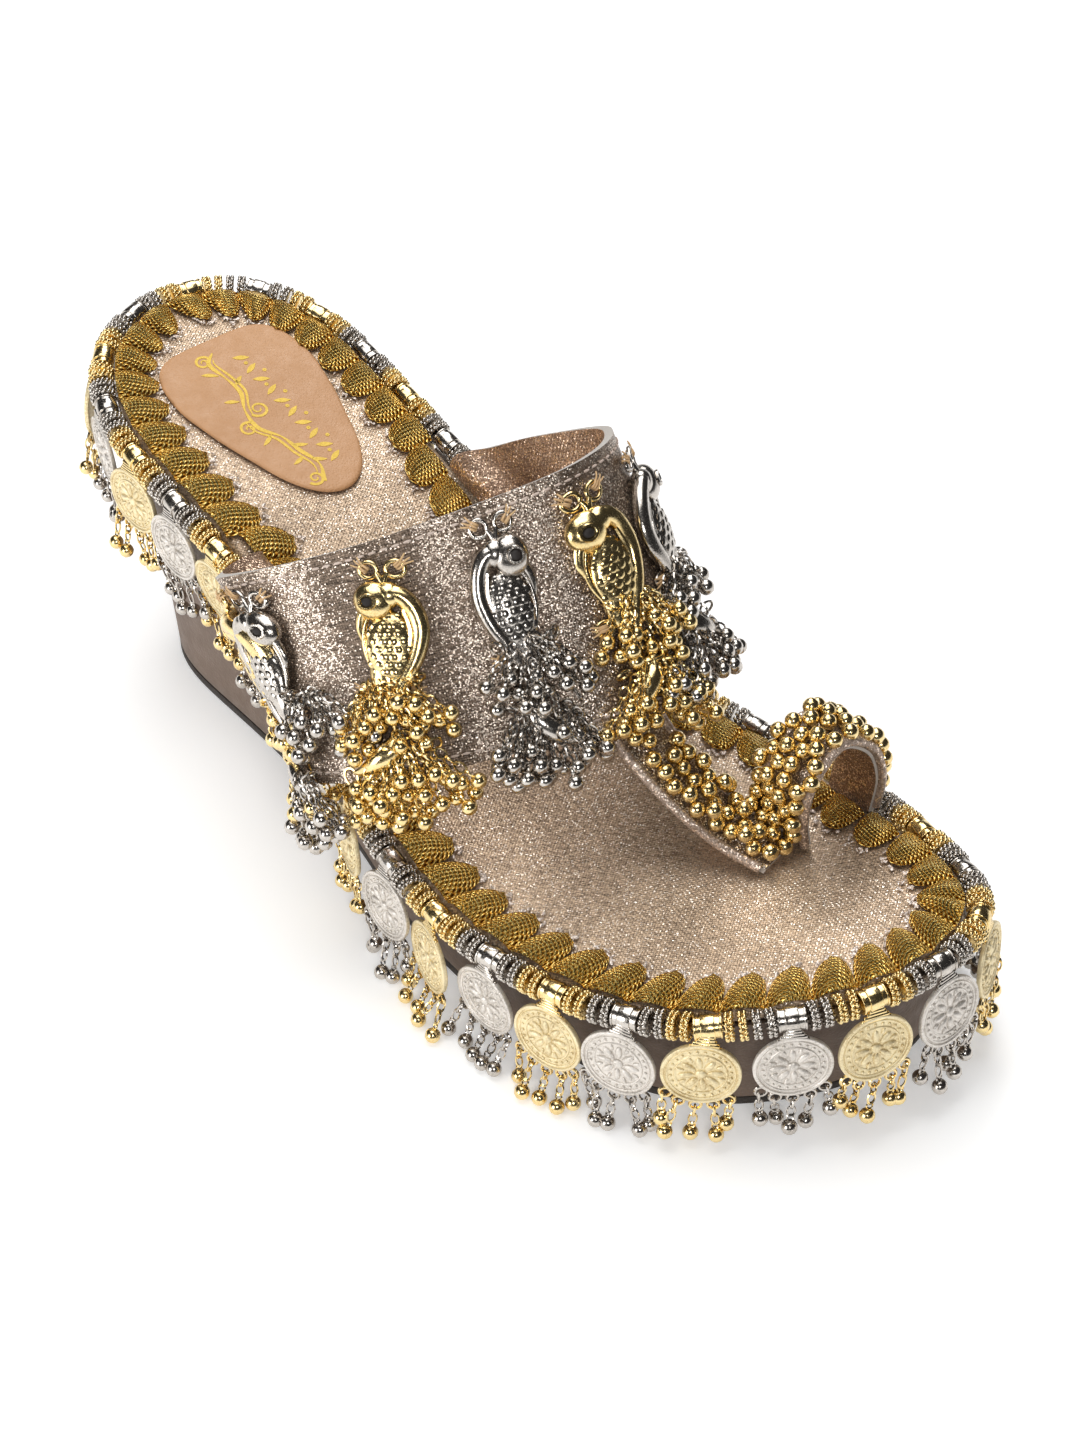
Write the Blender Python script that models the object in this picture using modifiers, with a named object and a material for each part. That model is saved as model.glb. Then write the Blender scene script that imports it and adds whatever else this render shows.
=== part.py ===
"""Right-foot wedge slide sandal with an instep band, a toe loop and hanging coin trim.

Everything is worked out in the shoe's own frame, in millimetres: X is across the shoe with the
little-toe side at -X, "along" runs from the back of the heel (0) to the toe (LENGTH), which points
to -Y, and Z = 0 is the floor. The finished objects are in metres, centred over the origin.
"""

import math
from collections import namedtuple

import bmesh
import bpy
import numpy as np
from mathutils import Matrix, Vector

MM = 0.001
GAP = 0.35  # running gap kept between two pieces that touch on the real shoe

# ---------------------------------------------------------------- driving sizes, in millimetres

LENGTH = 250.0  # heel to toe, at the bead trim
TRIM_RADIUS = 2.9  # of the spacer wheels
TUBE_RADIUS = 2.2
TUBE_LENGTH = 6.0
RIM_INSET = TRIM_RADIUS + GAP  # from the line of the trim to the side of the wedge
SOLE_ROWS = 34  # rows of faces from heel to toe

OUTSOLE_THICKNESS = 2.4
WALL_TAPER = 3.9  # how far the wall runs in on its way down
HEEL_UNDERCUT = 11.0  # how much further the back of the heel runs forward
UNDERCUT_REACH = 75.0
TOE_SPRING = 3.0
SHANK_LIFT = 1.6

FOOTBED_THICKNESS = 3.4
FOOTBED_EDGE = 0.3  # top of the footbed's edge above the line of the trim
FOOTBED_PADDING = 1.2  # further rise of the padded middle
PADDING_RUN = 11.0
WEDGE_CLEARANCE = 0.7  # under the facets of the footbed

PETAL_COUNT = 60
PETAL_LENGTH = 9.2
PETAL_RISE = 1.1
PETAL_THICKNESS = 0.9

SOCK_THICKNESS = 0.8
SOCK_CLEARANCE = 0.5  # over the facets of the padded footbed

UPPER_THICKNESS = 2.0
STRAP_WIDTH = 12.5
STRAP_THICKNESS = 1.8
BEAD_COVER = 2.6  # depth of the beadwork on the toe strap
STRAP_BEADING = (1.55, 3.9)  # where it starts and ends, in steps along the strap's table
STRAP_BEAD_LIFT = 0.8
LOOP_BEADING = (0.62, 5.5)  # and along the loop's table

PENDANT_COUNT = 36
COIN_RADIUS = 8.0
COIN_THICKNESS = 1.2
COIN_DROP = 12.6  # from the line of the trim to the middle of the coin
COIN_STANDOFF = 1.5  # from the line of the trim outwards to the middle of the coin
NECK_HALF_WIDTH = 1.3
NECK_TOP = 9.9  # above the middle of the coin, just under the tube
FRINGE_DEPTH = 5.5  # the row of small bells below each coin
FRINGE_HALF_WIDTH = 6.1
FRINGE_CURVE = 2.4  # how much higher the outer bells hang

Station = namedtuple("Station", "name along lateral medial rim")
STATIONS = (
    Station("heel curve", 10.0, 24.0, 21.5, 74.3),
    Station("heel seat", 26.0, 33.0, 28.8, 71.0),
    Station("heel breast", 50.0, 35.8, 30.0, 66.2),
    Station("waist", 80.0, 36.2, 28.8, 59.3),
    Station("shank", 110.0, 40.0, 30.5, 47.4),
    Station("joint", 140.0, 45.8, 35.8, 32.6),
    Station("outer ball", 165.0, 48.0, 43.4, 27.2),
    Station("inner ball", 190.0, 45.9, 48.0, 27.4),
    Station("little toe", 212.0, 39.6, 47.0, 29.4),
    Station("toes", 230.0, 28.4, 43.2, 32.4),
    Station("toe curve", 243.0, 11.0, 35.8, 35.2),
)
HEEL_TIP = Station("heel tip", 0.0, 1.5, -1.5, 76.0)
TOE_TIP = Station("toe tip", LENGTH, -15.0, 15.0, 36.6)

# The band: how far along each side its two edges stand, and where they pass over the instep.
Edge = namedtuple("Edge", "name lateral_along medial_along crown")
BACK_EDGE = Edge("back", 81.0, 81.0, (6.0, -139.3, 101.1))
FRONT_EDGE = Edge("front", 129.0, 139.0, (2.0, -172.0, 57.5))
BAND_INSET = TRIM_RADIUS + 0.6  # from the line of the trim to the band's outer face
SEAM_LIFT = 1.4  # the seams stand clear of the footbed's rolled edge
LOOP_SEAM = (191.0, 204.5)
UPPER_SEAMS = (
    (True, BACK_EDGE.lateral_along, FRONT_EDGE.lateral_along),
    (False, BACK_EDGE.medial_along, FRONT_EDGE.medial_along),
    (False, *LOOP_SEAM),
)
POST_SIZE = (9.0, 3.0, 4.0)  # the tab that goes down between the toes
POST_TURN = -42.0

# The band's section from seam to seam. "back" and "front" give how far across it stands at its two
# edges, in half seam widths from the middle; "rise" is a part of the way from the seams up to the
# crown and "lean" a part of the way forward to it.
Fold = namedtuple("Fold", "name back front rise lean")
BAND_SECTION = (
    Fold("lateral seam", -1.00, -1.00, 0.00, 0.00),
    Fold("lateral tuck", -1.02, -1.00, 0.085, 0.02),
    Fold("lateral swell", -1.50, -1.33, 0.21, 0.12),
    Fold("lateral side", -1.72, -1.46, 0.43, 0.32),
    Fold("lateral shoulder", -1.16, -1.06, 0.78, 0.73),
    Fold("crown", 0.15, 0.02, 1.00, 1.00),
    Fold("medial shoulder", 0.98, 0.80, 0.83, 0.80),
    Fold("medial side", 1.09, 1.02, 0.46, 0.40),
    Fold("medial swell", 1.11, 1.04, 0.20, 0.15),
    Fold("medial tuck", 1.00, 1.00, 0.085, 0.03),
    Fold("medial seam", 1.00, 1.00, 0.00, 0.00),
)

# The toe strap from under the band's front edge to the post between the toes. "turn" is the
# heading of its width, in degrees from +X towards +Y, and "tilt" lifts the medial edge.
Strap = namedtuple("Strap", "name x y z turn tilt")
TOE_STRAP = (
    Strap("in the band", 2.6, -168.4, 61.9, -4.0, 0.0),
    Strap("band edge", 2.4, -173.6, 55.2, 2.0, 0.0),
    Strap("middle", 6.5, -184.0, 44.6, 16.0, 3.0),
    Strap("lower", 12.0, -193.0, 36.4, 18.0, 3.0),
    Strap("post", 16.8, -198.6, 32.6, 8.0, 0.0),
)

# The toe loop, an arch over the big toe, seen along its opening.
Arch = namedtuple("Arch", "name x rise lean")
TOE_LOOP = (
    Arch("post", 23.0, 0.3, 0.0),
    Arch("post side", 21.8, 9.0, 0.0),
    Arch("post shoulder", 24.6, 18.5, 0.5),
    Arch("top", 33.0, 24.2, 1.0),
    Arch("outer shoulder", 41.8, 19.5, 0.5),
    Arch("outer side", 45.2, 10.0, 0.0),
    Arch("outer seam", 44.0, 0.3, 0.0),
)
LOOP_FRONT = -204.0

# Charms across the band: "place" is the part of the way from the lateral seam to the medial seam,
# "spread" how wide the bells hang there.
Charm = namedtuple("Charm", "place spread")
CHARMS = (
    Charm(0.235, 0.45),
    Charm(0.315, 0.63),
    Charm(0.388, 0.95),
    Charm(0.455, 0.75),
    Charm(0.512, 0.63),
    Charm(0.585, 0.72),
)

# A charm's lumps from the band's back edge to its front edge: "reach" is the part of the way
# between the edges, and the other three are half sizes across, along and off the band.
Lump = namedtuple("Lump", "name bells reach across along off")
CHARM_LUMPS = (
    Lump("crest and head", False, 0.15, 4.6, 5.6, 2.2),
    Lump("body", False, 0.35, 6.6, 9.6, 2.2),
    Lump("legs", False, 0.50, 3.6, 7.4, 2.0),
    Lump("upper bells", True, 0.69, 13.5, 7.4, 4.4),
    Lump("tail", False, 0.86, 4.4, 8.8, 2.2),
    Lump("lower bells", True, 1.04, 13.5, 7.2, 4.8),
)

CHARM_LIFT = 0.5  # clears the curve of the band under each charm

SOCK_CENTRE = 43.0  # along the shoe
SOCK_X = -1.2
SOCK_HALF_LENGTH = 29.5
SOCK_HALF_WIDTH = 18.0
SOCK_EGG = 0.26  # how much wider it is towards the heel


# ---------------------------------------------------------------- the last


def smooth(value):
    """Ease from 0 to 1 as value goes from 0 to 1."""
    value = np.clip(value, 0.0, 1.0)
    return value * value * (3.0 - 2.0 * value)


def closed_spline(points, count):
    """Sample a smooth closed curve through plan points, evenly in its own parameter."""
    points = np.asarray(points, float)
    steps = np.linalg.norm(np.roll(points, -1, axis=0) - points, axis=1)
    size = len(points)
    system = np.zeros((size, size))
    right = np.zeros_like(points)
    for i in range(size):
        before, after = steps[i - 1], steps[i]
        system[i, i - 1] = before
        system[i, i] = 2.0 * (before + after)
        system[i, (i + 1) % size] = after
        right[i] = 6.0 * (
            (points[(i + 1) % size] - points[i]) / after - (points[i] - points[i - 1]) / before
        )
    bends = np.linalg.solve(system, right)
    ends = np.concatenate([[0.0], np.cumsum(steps)])
    curve = []
    for where in np.linspace(0.0, ends[-1], count, endpoint=False):
        i = int(np.searchsorted(ends, where, side="right")) - 1
        j = (i + 1) % size
        step = steps[i]
        a, b = (ends[i + 1] - where) / step, (where - ends[i]) / step
        curve.append(
            a * points[i]
            + b * points[j]
            + ((a**3 - a) * bends[i] + (b**3 - b) * bends[j]) * step * step / 6.0
        )
    return np.array(curve)


def smooth_through(places, values, where):
    """Smooth curve through a few values, with the slopes of a hand-drawn line."""
    places, values = np.asarray(places, float), np.asarray(values, float)
    slopes = np.gradient(values, places, axis=0)
    where = np.clip(np.asarray(where, float), places[0], places[-1])
    i = np.clip(np.searchsorted(places, where, side="right") - 1, 0, len(places) - 2)
    step = places[i + 1] - places[i]
    t = (where - places[i]) / step
    if values.ndim > 1:
        t, step = t[..., None], step[..., None]
    return (
        (2 * t**3 - 3 * t**2 + 1) * values[i]
        + (t**3 - 2 * t**2 + t) * step * slopes[i]
        + (-2 * t**3 + 3 * t**2) * values[i + 1]
        + (t**3 - t**2) * step * slopes[i + 1]
    )


PROFILE = (HEEL_TIP, *STATIONS, TOE_TIP)


def rim_height(along):
    """Height of the line of the trim at a distance from the back of the heel."""
    return smooth_through([s.along for s in PROFILE], [s.rim for s in PROFILE], along)


def rim_line():
    """The line of the trim: heel, little-toe side, toe and back, with lengths and outward normals."""
    lateral = [(-s.lateral, -s.along) for s in STATIONS]
    medial = [(s.medial, -s.along) for s in reversed(STATIONS)]
    heel = (-HEEL_TIP.lateral, -HEEL_TIP.along)
    toe = (-TOE_TIP.lateral, -TOE_TIP.along)
    plan = closed_spline([heel, *lateral, toe, *medial], 720)
    points = np.column_stack([plan, rim_height(-plan[:, 1])])
    heading = np.roll(points, -1, axis=0) - np.roll(points, 1, axis=0)
    outward = np.column_stack([heading[:, 1], -heading[:, 0], np.zeros(len(plan))])
    outward /= np.linalg.norm(outward, axis=1)[:, None]
    middle = points.mean(axis=0)
    if ((points - middle) * outward).sum() < 0.0:
        outward = -outward
    steps = np.linalg.norm(np.roll(points, -1, axis=0) - points, axis=1)
    return points, outward, np.concatenate([[0.0], np.cumsum(steps)])


RIM, OUTWARD, RIM_LENGTHS = rim_line()
RIM_LENGTH = RIM_LENGTHS[-1]
TOE_DISTANCE = RIM_LENGTHS[int(np.argmin(RIM[:, 1]))]


def rim_at(distance, inset=0.0):
    """Point of the line of the trim at a distance round it, moved inwards, and its outward normal."""
    distance = np.mod(distance, RIM_LENGTH)
    ring = np.vstack([RIM, RIM[:1]])
    out = np.vstack([OUTWARD, OUTWARD[:1]])
    point = np.array([np.interp(distance, RIM_LENGTHS, ring[:, k]) for k in range(3)])
    normal = np.array([np.interp(distance, RIM_LENGTHS, out[:, k]) for k in range(3)])
    normal /= np.linalg.norm(normal)
    return point - inset * normal, normal


def side_distance(along, lateral):
    """Distance round the trim at which one side of it is this far from the heel."""
    half = RIM_LENGTHS[:-1] <= TOE_DISTANCE if lateral else RIM_LENGTHS[:-1] > TOE_DISTANCE
    places, lengths = -RIM[half, 1], RIM_LENGTHS[:-1][half]
    order = np.argsort(places)
    return float(np.interp(along, places[order], lengths[order]))


def edge_distance(x, y):
    """How far inside the footbed's edge a plan point lies."""
    gaps = np.hypot(RIM[:, 0] - x, RIM[:, 1] - y)
    return float(gaps.min()) - RIM_INSET


def footbed_top(x, y):
    """Height of the padded footbed."""
    padding = FOOTBED_PADDING * smooth(edge_distance(x, y) / PADDING_RUN)
    return float(rim_height(-y)) + FOOTBED_EDGE + float(padding)


def ground(along):
    """Underside of the outsole: flat under heel and ball, lifted at the shank and the toe."""
    shank = SHANK_LIFT * smooth((along - 92.0) / 18.0) * (1.0 - smooth((along - 122.0) / 18.0))
    toe = TOE_SPRING * smooth((along - 212.0) / 60.0)
    return float(shank + toe)


def foot_point(distance):
    """Plan point of the wedge's lower edge under a distance round the trim."""
    point, _ = rim_at(distance, RIM_INSET + WALL_TAPER)
    undercut = HEEL_UNDERCUT * (1.0 - smooth(-point[1] / UNDERCUT_REACH))
    return np.array([point[0], point[1] - float(undercut)])


def paired_rows(plan_point):
    """Matching points of the two sides from heel to toe, without the two tips."""
    pairs = []
    for i in range(1, SOLE_ROWS):
        part = i / SOLE_ROWS
        lateral = plan_point(TOE_DISTANCE * part)
        medial = plan_point(RIM_LENGTH - (RIM_LENGTH - TOE_DISTANCE) * part)
        pairs.append((lateral[:2], medial[:2]))
    return plan_point(0.0)[:2], pairs, plan_point(TOE_DISTANCE)[:2]


# ---------------------------------------------------------------- making objects


def clear_scene():
    """Remove every object that the scene starts with."""
    for thing in list(bpy.data.objects):
        bpy.data.objects.remove(thing, do_unlink=True)


def make_material(name, colour, roughness, metallic):
    """A plain Principled material."""
    material = bpy.data.materials.new(name)
    material.use_nodes = True
    shader = material.node_tree.nodes["Principled BSDF"]
    shader.inputs["Base Color"].default_value = (*colour, 1.0)
    shader.inputs["Roughness"].default_value = roughness
    shader.inputs["Metallic"].default_value = metallic
    material.diffuse_color = (*colour, 1.0)
    return material


def make_object(name, bm, material):
    """Finish a bmesh built in millimetres as a named object in metres."""
    bmesh.ops.scale(bm, vec=(MM, MM, MM), verts=bm.verts)
    mesh = bpy.data.meshes.new(name)
    bm.to_mesh(mesh)
    bm.free()
    mesh.materials.append(material)
    mesh.shade_smooth()
    mesh.set_sharp_from_angle(angle=math.radians(40))
    thing = bpy.data.objects.new(name, mesh)
    PARTS.objects.link(thing)
    return thing


def face_up(bm):
    """Turn the faces of an open sheet so that most of them point up."""
    bmesh.ops.recalc_face_normals(bm, faces=bm.faces)
    if sum(face.normal.z * face.calc_area() for face in bm.faces) < 0.0:
        bmesh.ops.reverse_faces(bm, faces=bm.faces)


def sole_sheet(shares, plan_point, height):
    """Open sheet over a sole-shaped outline, in rows from side to side."""
    heel, pairs, toe = paired_rows(plan_point)
    bm = bmesh.new()
    grid = []
    for lateral, medial in pairs:
        line = [lateral + (medial - lateral) * share for share in shares]
        grid.append([bm.verts.new((p[0], p[1], height(p[0], p[1]))) for p in line])
    heel_tip = bm.verts.new((heel[0], heel[1], height(*heel)))
    toe_tip = bm.verts.new((toe[0], toe[1], height(*toe)))
    for near, far in zip(grid, grid[1:]):
        for i in range(len(shares) - 1):
            bm.faces.new((near[i], near[i + 1], far[i + 1], far[i]))
    for tip, row in ((heel_tip, grid[0]), (toe_tip, grid[-1])):
        for i in range(len(shares) - 1):
            bm.faces.new((tip, row[i], row[i + 1]))
    face_up(bm)
    return bm


def thicken(thing, thickness, offset=-1.0):
    """Give an open sheet its wall."""
    wall = thing.modifiers.new("wall", "SOLIDIFY")
    wall.thickness = thickness * MM
    wall.offset = offset
    wall.use_even_offset = True


def join(base, *others):
    """Union other objects into one and remove them."""
    for other in others:
        union = base.modifiers.new("union", "BOOLEAN")
        union.operation = "UNION"
        union.object = other
    bpy.context.view_layer.update()
    settled = base.evaluated_get(bpy.context.evaluated_depsgraph_get())
    mesh = bpy.data.meshes.new_from_object(settled)
    base.modifiers.clear()
    base.data = mesh
    for other in others:
        bpy.data.objects.remove(other, do_unlink=True)
    return base


def grid_sheet(points):
    """Open sheet through a grid of points, given row by row."""
    bm = bmesh.new()
    grid = [[bm.verts.new(tuple(point)) for point in row] for row in points]
    for near, far in zip(grid, grid[1:]):
        for i in range(len(near) - 1):
            bm.faces.new((near[i], near[i + 1], far[i + 1], far[i]))
    return bm


# ---------------------------------------------------------------- sole


def build_outsole():
    """Thin rubber sheet under the wedge."""
    bm = sole_sheet((0.0, 0.5, 1.0), foot_point, lambda x, y: ground(-y) + OUTSOLE_THICKNESS)
    outsole = make_object("outsole", bm, RUBBER)
    thicken(outsole, OUTSOLE_THICKNESS)
    return outsole


def build_wedge():
    """The covered wedge, lofted from its foot to its rim."""

    def top(distance):
        point, _ = rim_at(distance, RIM_INSET)
        slope = rim_height(-point[1] + 1.0) - rim_height(-point[1])
        depth = FOOTBED_THICKNESS * math.hypot(1.0, float(slope)) + WEDGE_CLEARANCE
        return point[0], point[1], point[2] + FOOTBED_EDGE - depth

    def bottom(distance):
        x, y = foot_point(distance)
        return x, y, ground(-y) + OUTSOLE_THICKNESS + GAP

    bm = bmesh.new()
    caps = []
    for edge in (bottom, top):
        heel = bm.verts.new(edge(0.0))
        toe = bm.verts.new(edge(TOE_DISTANCE))
        lateral, medial = [], []
        for i in range(1, SOLE_ROWS):
            part = i / SOLE_ROWS
            lateral.append(bm.verts.new(edge(TOE_DISTANCE * part)))
            medial.append(bm.verts.new(edge(RIM_LENGTH - (RIM_LENGTH - TOE_DISTANCE) * part)))
        for i in range(SOLE_ROWS - 2):
            bm.faces.new((lateral[i], lateral[i + 1], medial[i + 1], medial[i]))
        bm.faces.new((heel, lateral[0], medial[0]))
        bm.faces.new((toe, medial[-1], lateral[-1]))
        caps.append([heel, *lateral, toe, *reversed(medial)])
    low, high = caps
    for i in range(len(low)):
        j = (i + 1) % len(low)
        bm.faces.new((low[i], low[j], high[j], high[i]))
    bmesh.ops.recalc_face_normals(bm, faces=bm.faces)
    return make_object("wedge_platform", bm, TAUPE)


def build_footbed():
    """Padded insole with a rolled edge."""
    shares = (0.0, 0.1, 0.28, 0.72, 0.9, 1.0)
    bm = sole_sheet(shares, lambda d: rim_at(d, RIM_INSET)[0], footbed_top)
    footbed = make_object("footbed", bm, ROSE_FABRIC)
    thicken(footbed, FOOTBED_THICKNESS)
    return footbed


def build_petals():
    """Ring of thread petals round the footbed, with their tips pointing in."""
    steps = ((0.0, 0.46), (0.34, 0.95), (0.68, 0.95))
    pitch = RIM_LENGTH / PETAL_COUNT
    rows = []
    for petal in range(PETAL_COUNT):
        for part, reach in steps:
            distance = (petal + part) * pitch
            outer = petal_root(distance)
            inner = outer + PETAL_LENGTH * reach
            line = []
            for share, rise in ((0.0, 0.0), (0.5, PETAL_RISE * reach), (1.0, 0.0)):
                point, _ = rim_at(distance, outer + (inner - outer) * share)
                lift = footbed_top(point[0], point[1]) + GAP + PETAL_THICKNESS + rise
                line.append((point[0], point[1], lift))
            rows.append(line)
    bm = grid_sheet([*rows, rows[0]])
    bmesh.ops.remove_doubles(bm, verts=bm.verts, dist=1e-4)
    face_up(bm)
    petals = make_object("petal_edging", bm, ZARI)
    thicken(petals, PETAL_THICKNESS)
    return petals


def petal_root(distance):
    """Inset of the petals' outer ends, which step inwards to pass inside the upper's seams."""
    free, inside = TRIM_RADIUS + 0.7, BAND_INSET + UPPER_THICKNESS + 1.4
    root = free
    for lateral, start, end in UPPER_SEAMS:
        first, last = sorted((side_distance(start, lateral), side_distance(end, lateral)))
        before = smooth((distance - first + 9.0) / 7.0)
        after = 1.0 - smooth((distance - last - 2.0) / 7.0)
        root = max(root, free + (inside - free) * float(min(before, after)))
    return root


def build_sock():
    """Egg-shaped heel patch, wide towards the back."""
    bm = bmesh.new()
    turns, rings = 26, 2
    centre = bm.verts.new((SOCK_X, -SOCK_CENTRE, 0.0))
    last = None
    for ring in range(1, rings + 1):
        size = ring / rings
        loop = []
        for i in range(turns):
            angle = 2.0 * math.pi * i / turns
            along = -math.cos(angle) * SOCK_HALF_LENGTH * size
            wide = 1.0 + SOCK_EGG * math.cos(angle)
            across = math.sin(angle) * SOCK_HALF_WIDTH * size * wide
            loop.append(bm.verts.new((SOCK_X + across, -SOCK_CENTRE - along, 0.0)))
        for i in range(turns):
            j = (i + 1) % turns
            if last is None:
                bm.faces.new((centre, loop[i], loop[j]))
            else:
                bm.faces.new((last[i], last[j], loop[j], loop[i]))
        last = loop
    for vertex in bm.verts:
        x, y, _ = vertex.co
        vertex.co.z = footbed_top(x, y) + SOCK_CLEARANCE + SOCK_THICKNESS
    face_up(bm)
    sock = make_object("heel_sock", bm, TAN)
    thicken(sock, SOCK_THICKNESS)
    return sock


# ---------------------------------------------------------------- upper


def band_point(part, reach):
    """Outer face of the band: part 0..1 from the lateral to the medial seam, reach 0..1 to the toe."""
    seams = []
    for lateral in (True, False):
        name = "lateral_along" if lateral else "medial_along"
        start, end = getattr(BACK_EDGE, name), getattr(FRONT_EDGE, name)
        point, _ = rim_at(side_distance(start + (end - start) * reach, lateral), BAND_INSET)
        point[2] = footbed_top(point[0], point[1]) + GAP + SEAM_LIFT
        seams.append(point)
    back, front = np.array(BACK_EDGE.crown), np.array(FRONT_EDGE.crown)
    crown = back + (front - back) * reach
    middle, half = (seams[0] + seams[1]) / 2.0, (seams[1] - seams[0]) / 2.0
    places = [i / (len(BAND_SECTION) - 1) for i in range(len(BAND_SECTION))]
    folds = [(f.back + (f.front - f.back) * reach, f.rise, f.lean) for f in BAND_SECTION]
    across, rise, lean = smooth_through(places, folds, part)
    return middle + half * across + (crown - middle) * np.array([rise, lean, rise])


def band_frame(part, reach):
    """Point of the band with its directions across, towards the toe and outwards."""
    step = 0.01
    point = band_point(part, reach)
    across = band_point(part + step, reach) - band_point(part - step, reach)
    along = band_point(part, reach + step) - band_point(part, reach - step)
    along /= np.linalg.norm(along)
    off = np.cross(along, across)
    off /= np.linalg.norm(off)
    across = np.cross(off, along)
    return point, across, along, off


def strap_point(step, side):
    """Upper face of the toe strap: step along the table, side -1..1 across its width."""
    places = range(len(TOE_STRAP))
    x, y, z, turn, tilt = smooth_through(places, [row[1:] for row in TOE_STRAP], step)
    turn, tilt = math.radians(turn), math.radians(tilt)
    half = STRAP_WIDTH / 2.0 * side
    flat = math.cos(tilt) * half
    return np.array(
        [x + flat * math.cos(turn), y + flat * math.sin(turn), z + math.sin(tilt) * half]
    )


def loop_point(step, depth):
    """Outer face of the toe loop: step along the arch, depth 0..1 from its front to its back."""
    places = range(len(TOE_LOOP))
    x, rise, lean = smooth_through(places, [row[1:] for row in TOE_LOOP], step)
    y = LOOP_FRONT + lean + STRAP_WIDTH * depth
    return np.array([x, y, footbed_top(x, y) + rise + GAP])


def build_upper():
    """Instep band, toe strap and toe loop, joined where they are stitched on the real shoe."""
    columns, rows = 28, 5
    bm = grid_sheet(
        [[band_point(i / columns, j / rows) for i in range(columns + 1)] for j in range(rows + 1)]
    )
    face_up(bm)
    band = make_object("upper", bm, BAND_FABRIC)
    thicken(band, UPPER_THICKNESS)

    places = np.linspace(0.0, len(TOE_STRAP) - 1, 15)
    bm = grid_sheet([[strap_point(place, side) for side in (-1, 0, 1)] for place in places])
    face_up(bm)
    strap = make_object("toe strap", bm, BAND_FABRIC)
    thicken(strap, STRAP_THICKNESS)

    places = np.linspace(0.0, len(TOE_LOOP) - 1, 23)
    bm = grid_sheet([[loop_point(place, depth) for depth in (0, 0.5, 1)] for place in places])
    face_up(bm)
    loop = make_object("toe loop", bm, BAND_FABRIC)
    thicken(loop, STRAP_THICKNESS)

    x, y, _ = strap_point(len(TOE_STRAP) - 1.3, 0.35)
    low = footbed_top(x, y) + GAP
    bm = bmesh.new()
    bmesh.ops.create_cube(bm, size=1.0)
    bmesh.ops.scale(bm, vec=POST_SIZE, verts=bm.verts)
    turn = Matrix.Rotation(math.radians(POST_TURN), 3, "Z")
    bmesh.ops.rotate(bm, cent=(0, 0, 0), matrix=turn, verts=bm.verts)
    bmesh.ops.translate(bm, vec=(x, y, low + POST_SIZE[2] / 2.0), verts=bm.verts)
    post = make_object("toe post", bm, BAND_FABRIC)
    return join(band, strap, loop, post)


# ---------------------------------------------------------------- trim


def build_trim():
    """String of tubes and spacers round the rim."""
    pitch = RIM_LENGTH / PENDANT_COUNT
    tube = TUBE_LENGTH / 2.0 / pitch
    thin = TUBE_RADIUS / TRIM_RADIUS
    beads = ((-tube, thin), (tube, thin), (tube + 0.11, 1.0), (0.89 - tube, 1.0))
    curve = bpy.data.curves.new("bead_trim", "CURVE")
    curve.dimensions = "3D"
    curve.bevel_depth = TRIM_RADIUS * MM
    curve.bevel_resolution = 1
    curve.render_resolution_u = 0
    spline = curve.splines.new("POLY")
    spline.points.add(PENDANT_COUNT * len(beads) - 1)
    for k in range(PENDANT_COUNT):
        for i, (part, size) in enumerate(beads):
            point, _ = rim_at((k + 0.5 + part) * pitch)
            knot = spline.points[k * len(beads) + i]
            knot.co = (*(point * MM), 1.0)
            knot.radius = size
    spline.use_cyclic_u = True
    curve.materials.append(GOLD)
    trim = bpy.data.objects.new("bead_trim", curve)
    PARTS.objects.link(trim)
    return trim


def coin_outline():
    """Outline of a coin with its neck and the scalloped row of small bells below it."""
    angles = [math.radians(angle) for angle in (-24, 6, 36, 66)]
    outline = [(COIN_RADIUS * math.cos(a), COIN_RADIUS * math.sin(a)) for a in angles]
    outline += [(NECK_HALF_WIDTH, NECK_TOP), (-NECK_HALF_WIDTH, NECK_TOP)]
    outline += [(-COIN_RADIUS * math.cos(a), COIN_RADIUS * math.sin(a)) for a in reversed(angles)]
    bells = 3
    for i in range(2 * bells + 1):
        part = i / bells - 1.0
        width = FRINGE_HALF_WIDTH * part
        depth = COIN_RADIUS + FRINGE_DEPTH - (0.0 if i % 2 else 2.0) - FRINGE_CURVE * part * part
        outline.append((width, -depth))
    return outline


def coin_shape(name, material):
    """Flat solid of a coin and its fringe, shared by every pendant of one colour."""
    shape = bpy.data.curves.new(name, "CURVE")
    shape.dimensions = "2D"
    shape.fill_mode = "BOTH"
    shape.extrude = COIN_THICKNESS / 2.0 * MM
    shape.render_resolution_u = 0
    outline = coin_outline()
    spline = shape.splines.new("POLY")
    spline.points.add(len(outline) - 1)
    for knot, (x, y) in zip(spline.points, outline):
        knot.co = (x * MM, y * MM, 0.0, 1.0)
    spline.use_cyclic_u = True
    shape.materials.append(material)
    return shape


def build_pendants():
    """Coins hanging from the tubes of the trim, silver and gold in turn."""
    pitch = RIM_LENGTH / PENDANT_COUNT
    shapes = (coin_shape("silver coin", SILVER), coin_shape("gold coin", GOLD))
    up = Vector((0.0, 0.0, 1.0))
    for k in range(PENDANT_COUNT):
        point, outward = rim_at((k + 0.5) * pitch, -COIN_STANDOFF)
        pendant = bpy.data.objects.new(f"coin_pendant_{k + 1:02d}", shapes[k % 2])
        out = Vector(outward)
        turn = Matrix((up.cross(out), up, out)).transposed().to_4x4()
        place = Matrix.Translation(Vector(point * MM) - up * COIN_DROP * MM)
        pendant.matrix_world = place @ turn
        PARTS.objects.link(pendant)


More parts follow.
